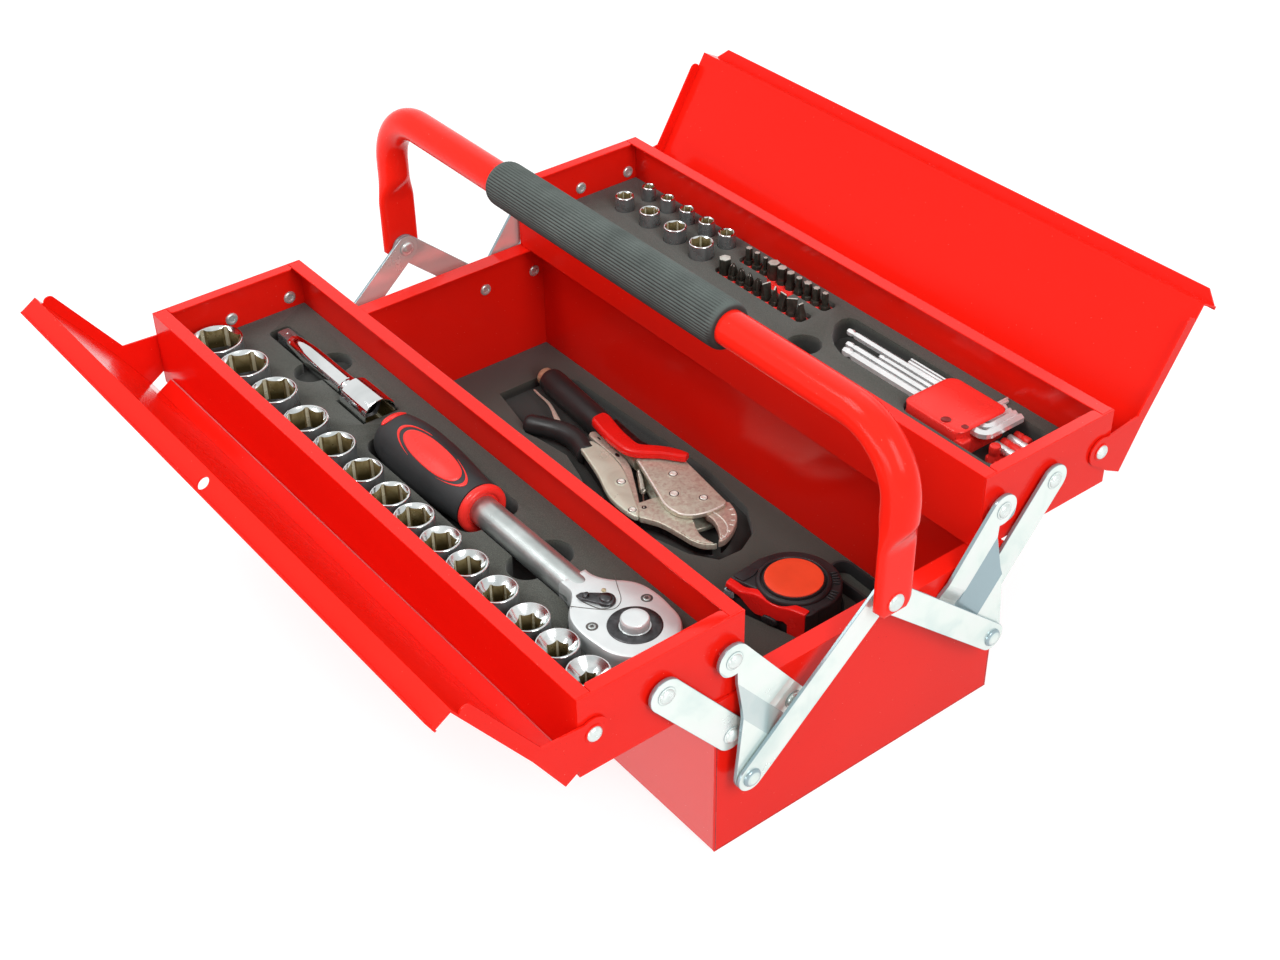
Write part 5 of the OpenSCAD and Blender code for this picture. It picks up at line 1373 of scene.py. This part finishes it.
post = [
    (3.2, 0.1), (3.2, 5.4), (2.95, 5.8), (2.95, 6.6), (3.2, 7.0), (3.2, 11), (2.9, 11.7), (2.1, 12.0),
    (0, 12.0)
]
s.lathe(post, 0, place((157.5, 133.5, 105.3)), 36, FOOT)
s.piece("key_holder_block", [PLASTIC, HOLE_RED], "rear_tray", ["hex_holder"], angle=40)


# ---- floor, light and camera

WHITE = (1, 1, 1, 1)


def ray_mask(tree, *kinds):
    """1 for the kinds of ray that are named, otherwise 0."""
    ray = add_node(tree, "LightPath", {}).outputs
    seen = ray[f"Is {kinds[0]} Ray"]
    for kind in kinds[1:]:
        seen = add_node(tree, "Math", {0: seen, 1: ray[f"Is {kind} Ray"]}, operation="MAXIMUM").outputs[0]
    return seen


def white_room():
    """A soft white surround for light, which looks pure white by itself and in reflections."""
    world = bpy.data.worlds.new("room")
    bpy.context.scene.world = world
    world.use_nodes = True
    tree = world.node_tree
    tree.nodes.clear()
    seen = ray_mask(tree, "Camera", "Glossy", "Transmission")
    soft = add_node(tree, "Background", {"Color": WHITE, "Strength": 0.78})
    white = add_node(tree, "Background", {"Color": WHITE, "Strength": 1.0})
    mix = add_node(tree, "MixShader", {"Fac": seen, 1: soft.outputs[0], 2: white.outputs[0]})
    add_node(tree, "OutputWorld", {"Surface": mix.outputs[0]})


def floor():
    """A floor that takes the shadow and otherwise looks as white as the room."""
    mat = bpy.data.materials.new("studio_floor")
    mat.use_nodes = True
    tree = mat.node_tree
    tree.nodes.clear()
    diffuse = add_node(tree, "BsdfDiffuse", {"Color": (0.38, 0.38, 0.38, 1)})
    glow = add_node(tree, "Emission", {"Strength": 0.72})
    none = add_node(tree, "Emission", {"Strength": 0.0})
    seen = ray_mask(tree, "Camera", "Glossy")
    mix = add_node(tree, "MixShader", {"Fac": seen, 1: none.outputs[0], 2: glow.outputs[0]})
    total = add_node(tree, "AddShader", {0: diffuse.outputs[0], 1: mix.outputs[0]})
    add_node(tree, "OutputMaterial", {"Surface": total.outputs[0]})
    me = bpy.data.meshes.new("studio_floor")
    half, level = 40, -0.0002
    corner = [(-half, -half, level), (half, -half, level), (half, half, level), (-half, half, level)]
    me.from_pydata(corner, [], [(0, 1, 2, 3)])
    me.materials.append(mat)
    obj = bpy.data.objects.new("studio_floor", me)
    bpy.context.scene.collection.objects.link(obj)


def softbox(name, at, target, size, power):
    light = bpy.data.lights.new(name, "AREA")
    light.shape, light.size, light.size_y, light.energy = "RECTANGLE", size[0], size[1], power
    obj = bpy.data.objects.new(name, light)
    bpy.context.scene.collection.objects.link(obj)
    obj.location = at
    obj.rotation_euler = (Vector(target) - Vector(at)).to_track_quat("-Z", "Y").to_euler()


def camera():
    az, el, roll, dist = math.radians(52.597), math.radians(36.922), math.radians(-0.949), 1.1547
    back = Vector((math.sin(az) * math.cos(el), -math.cos(az) * math.cos(el), math.sin(el)))
    right = Vector((0, 0, 1)).cross(back).normalized()
    up = back.cross(right)
    side = right * math.cos(roll) + up * math.sin(roll)
    rise = up * math.cos(roll) - right * math.sin(roll)
    data = bpy.data.cameras.new("camera")
    data.lens, data.sensor_width = 52.14, 36
    data.clip_start, data.clip_end = 0.02, 100
    obj = bpy.data.objects.new("camera", data)
    bpy.context.scene.collection.objects.link(obj)
    turn = Matrix((side, rise, back)).transposed().to_4x4()
    obj.matrix_world = Matrix.Translation(Vector((-0.0614, 0.06443, -0.00103)) + back * dist) @ turn
    bpy.context.scene.camera = obj


white_room()
floor()
softbox("key", (-0.55, -1.0, 1.7), (0, 0, 0.08), (0.8, 0.8), 17)
softbox("fill", (1.5, -0.2, 1.1), (0, 0, 0.08), (0.7, 1.0), 17)
softbox("back", (-0.3, 1.5, 1.3), (0, 0, 0.1), (1.0, 0.6), 2)
softbox("front", (0.25, -1.5, 0.3), (0, 0, 0.05), (1.2, 0.4), 8)
camera()
bpy.context.scene.view_settings.view_transform = "Standard"
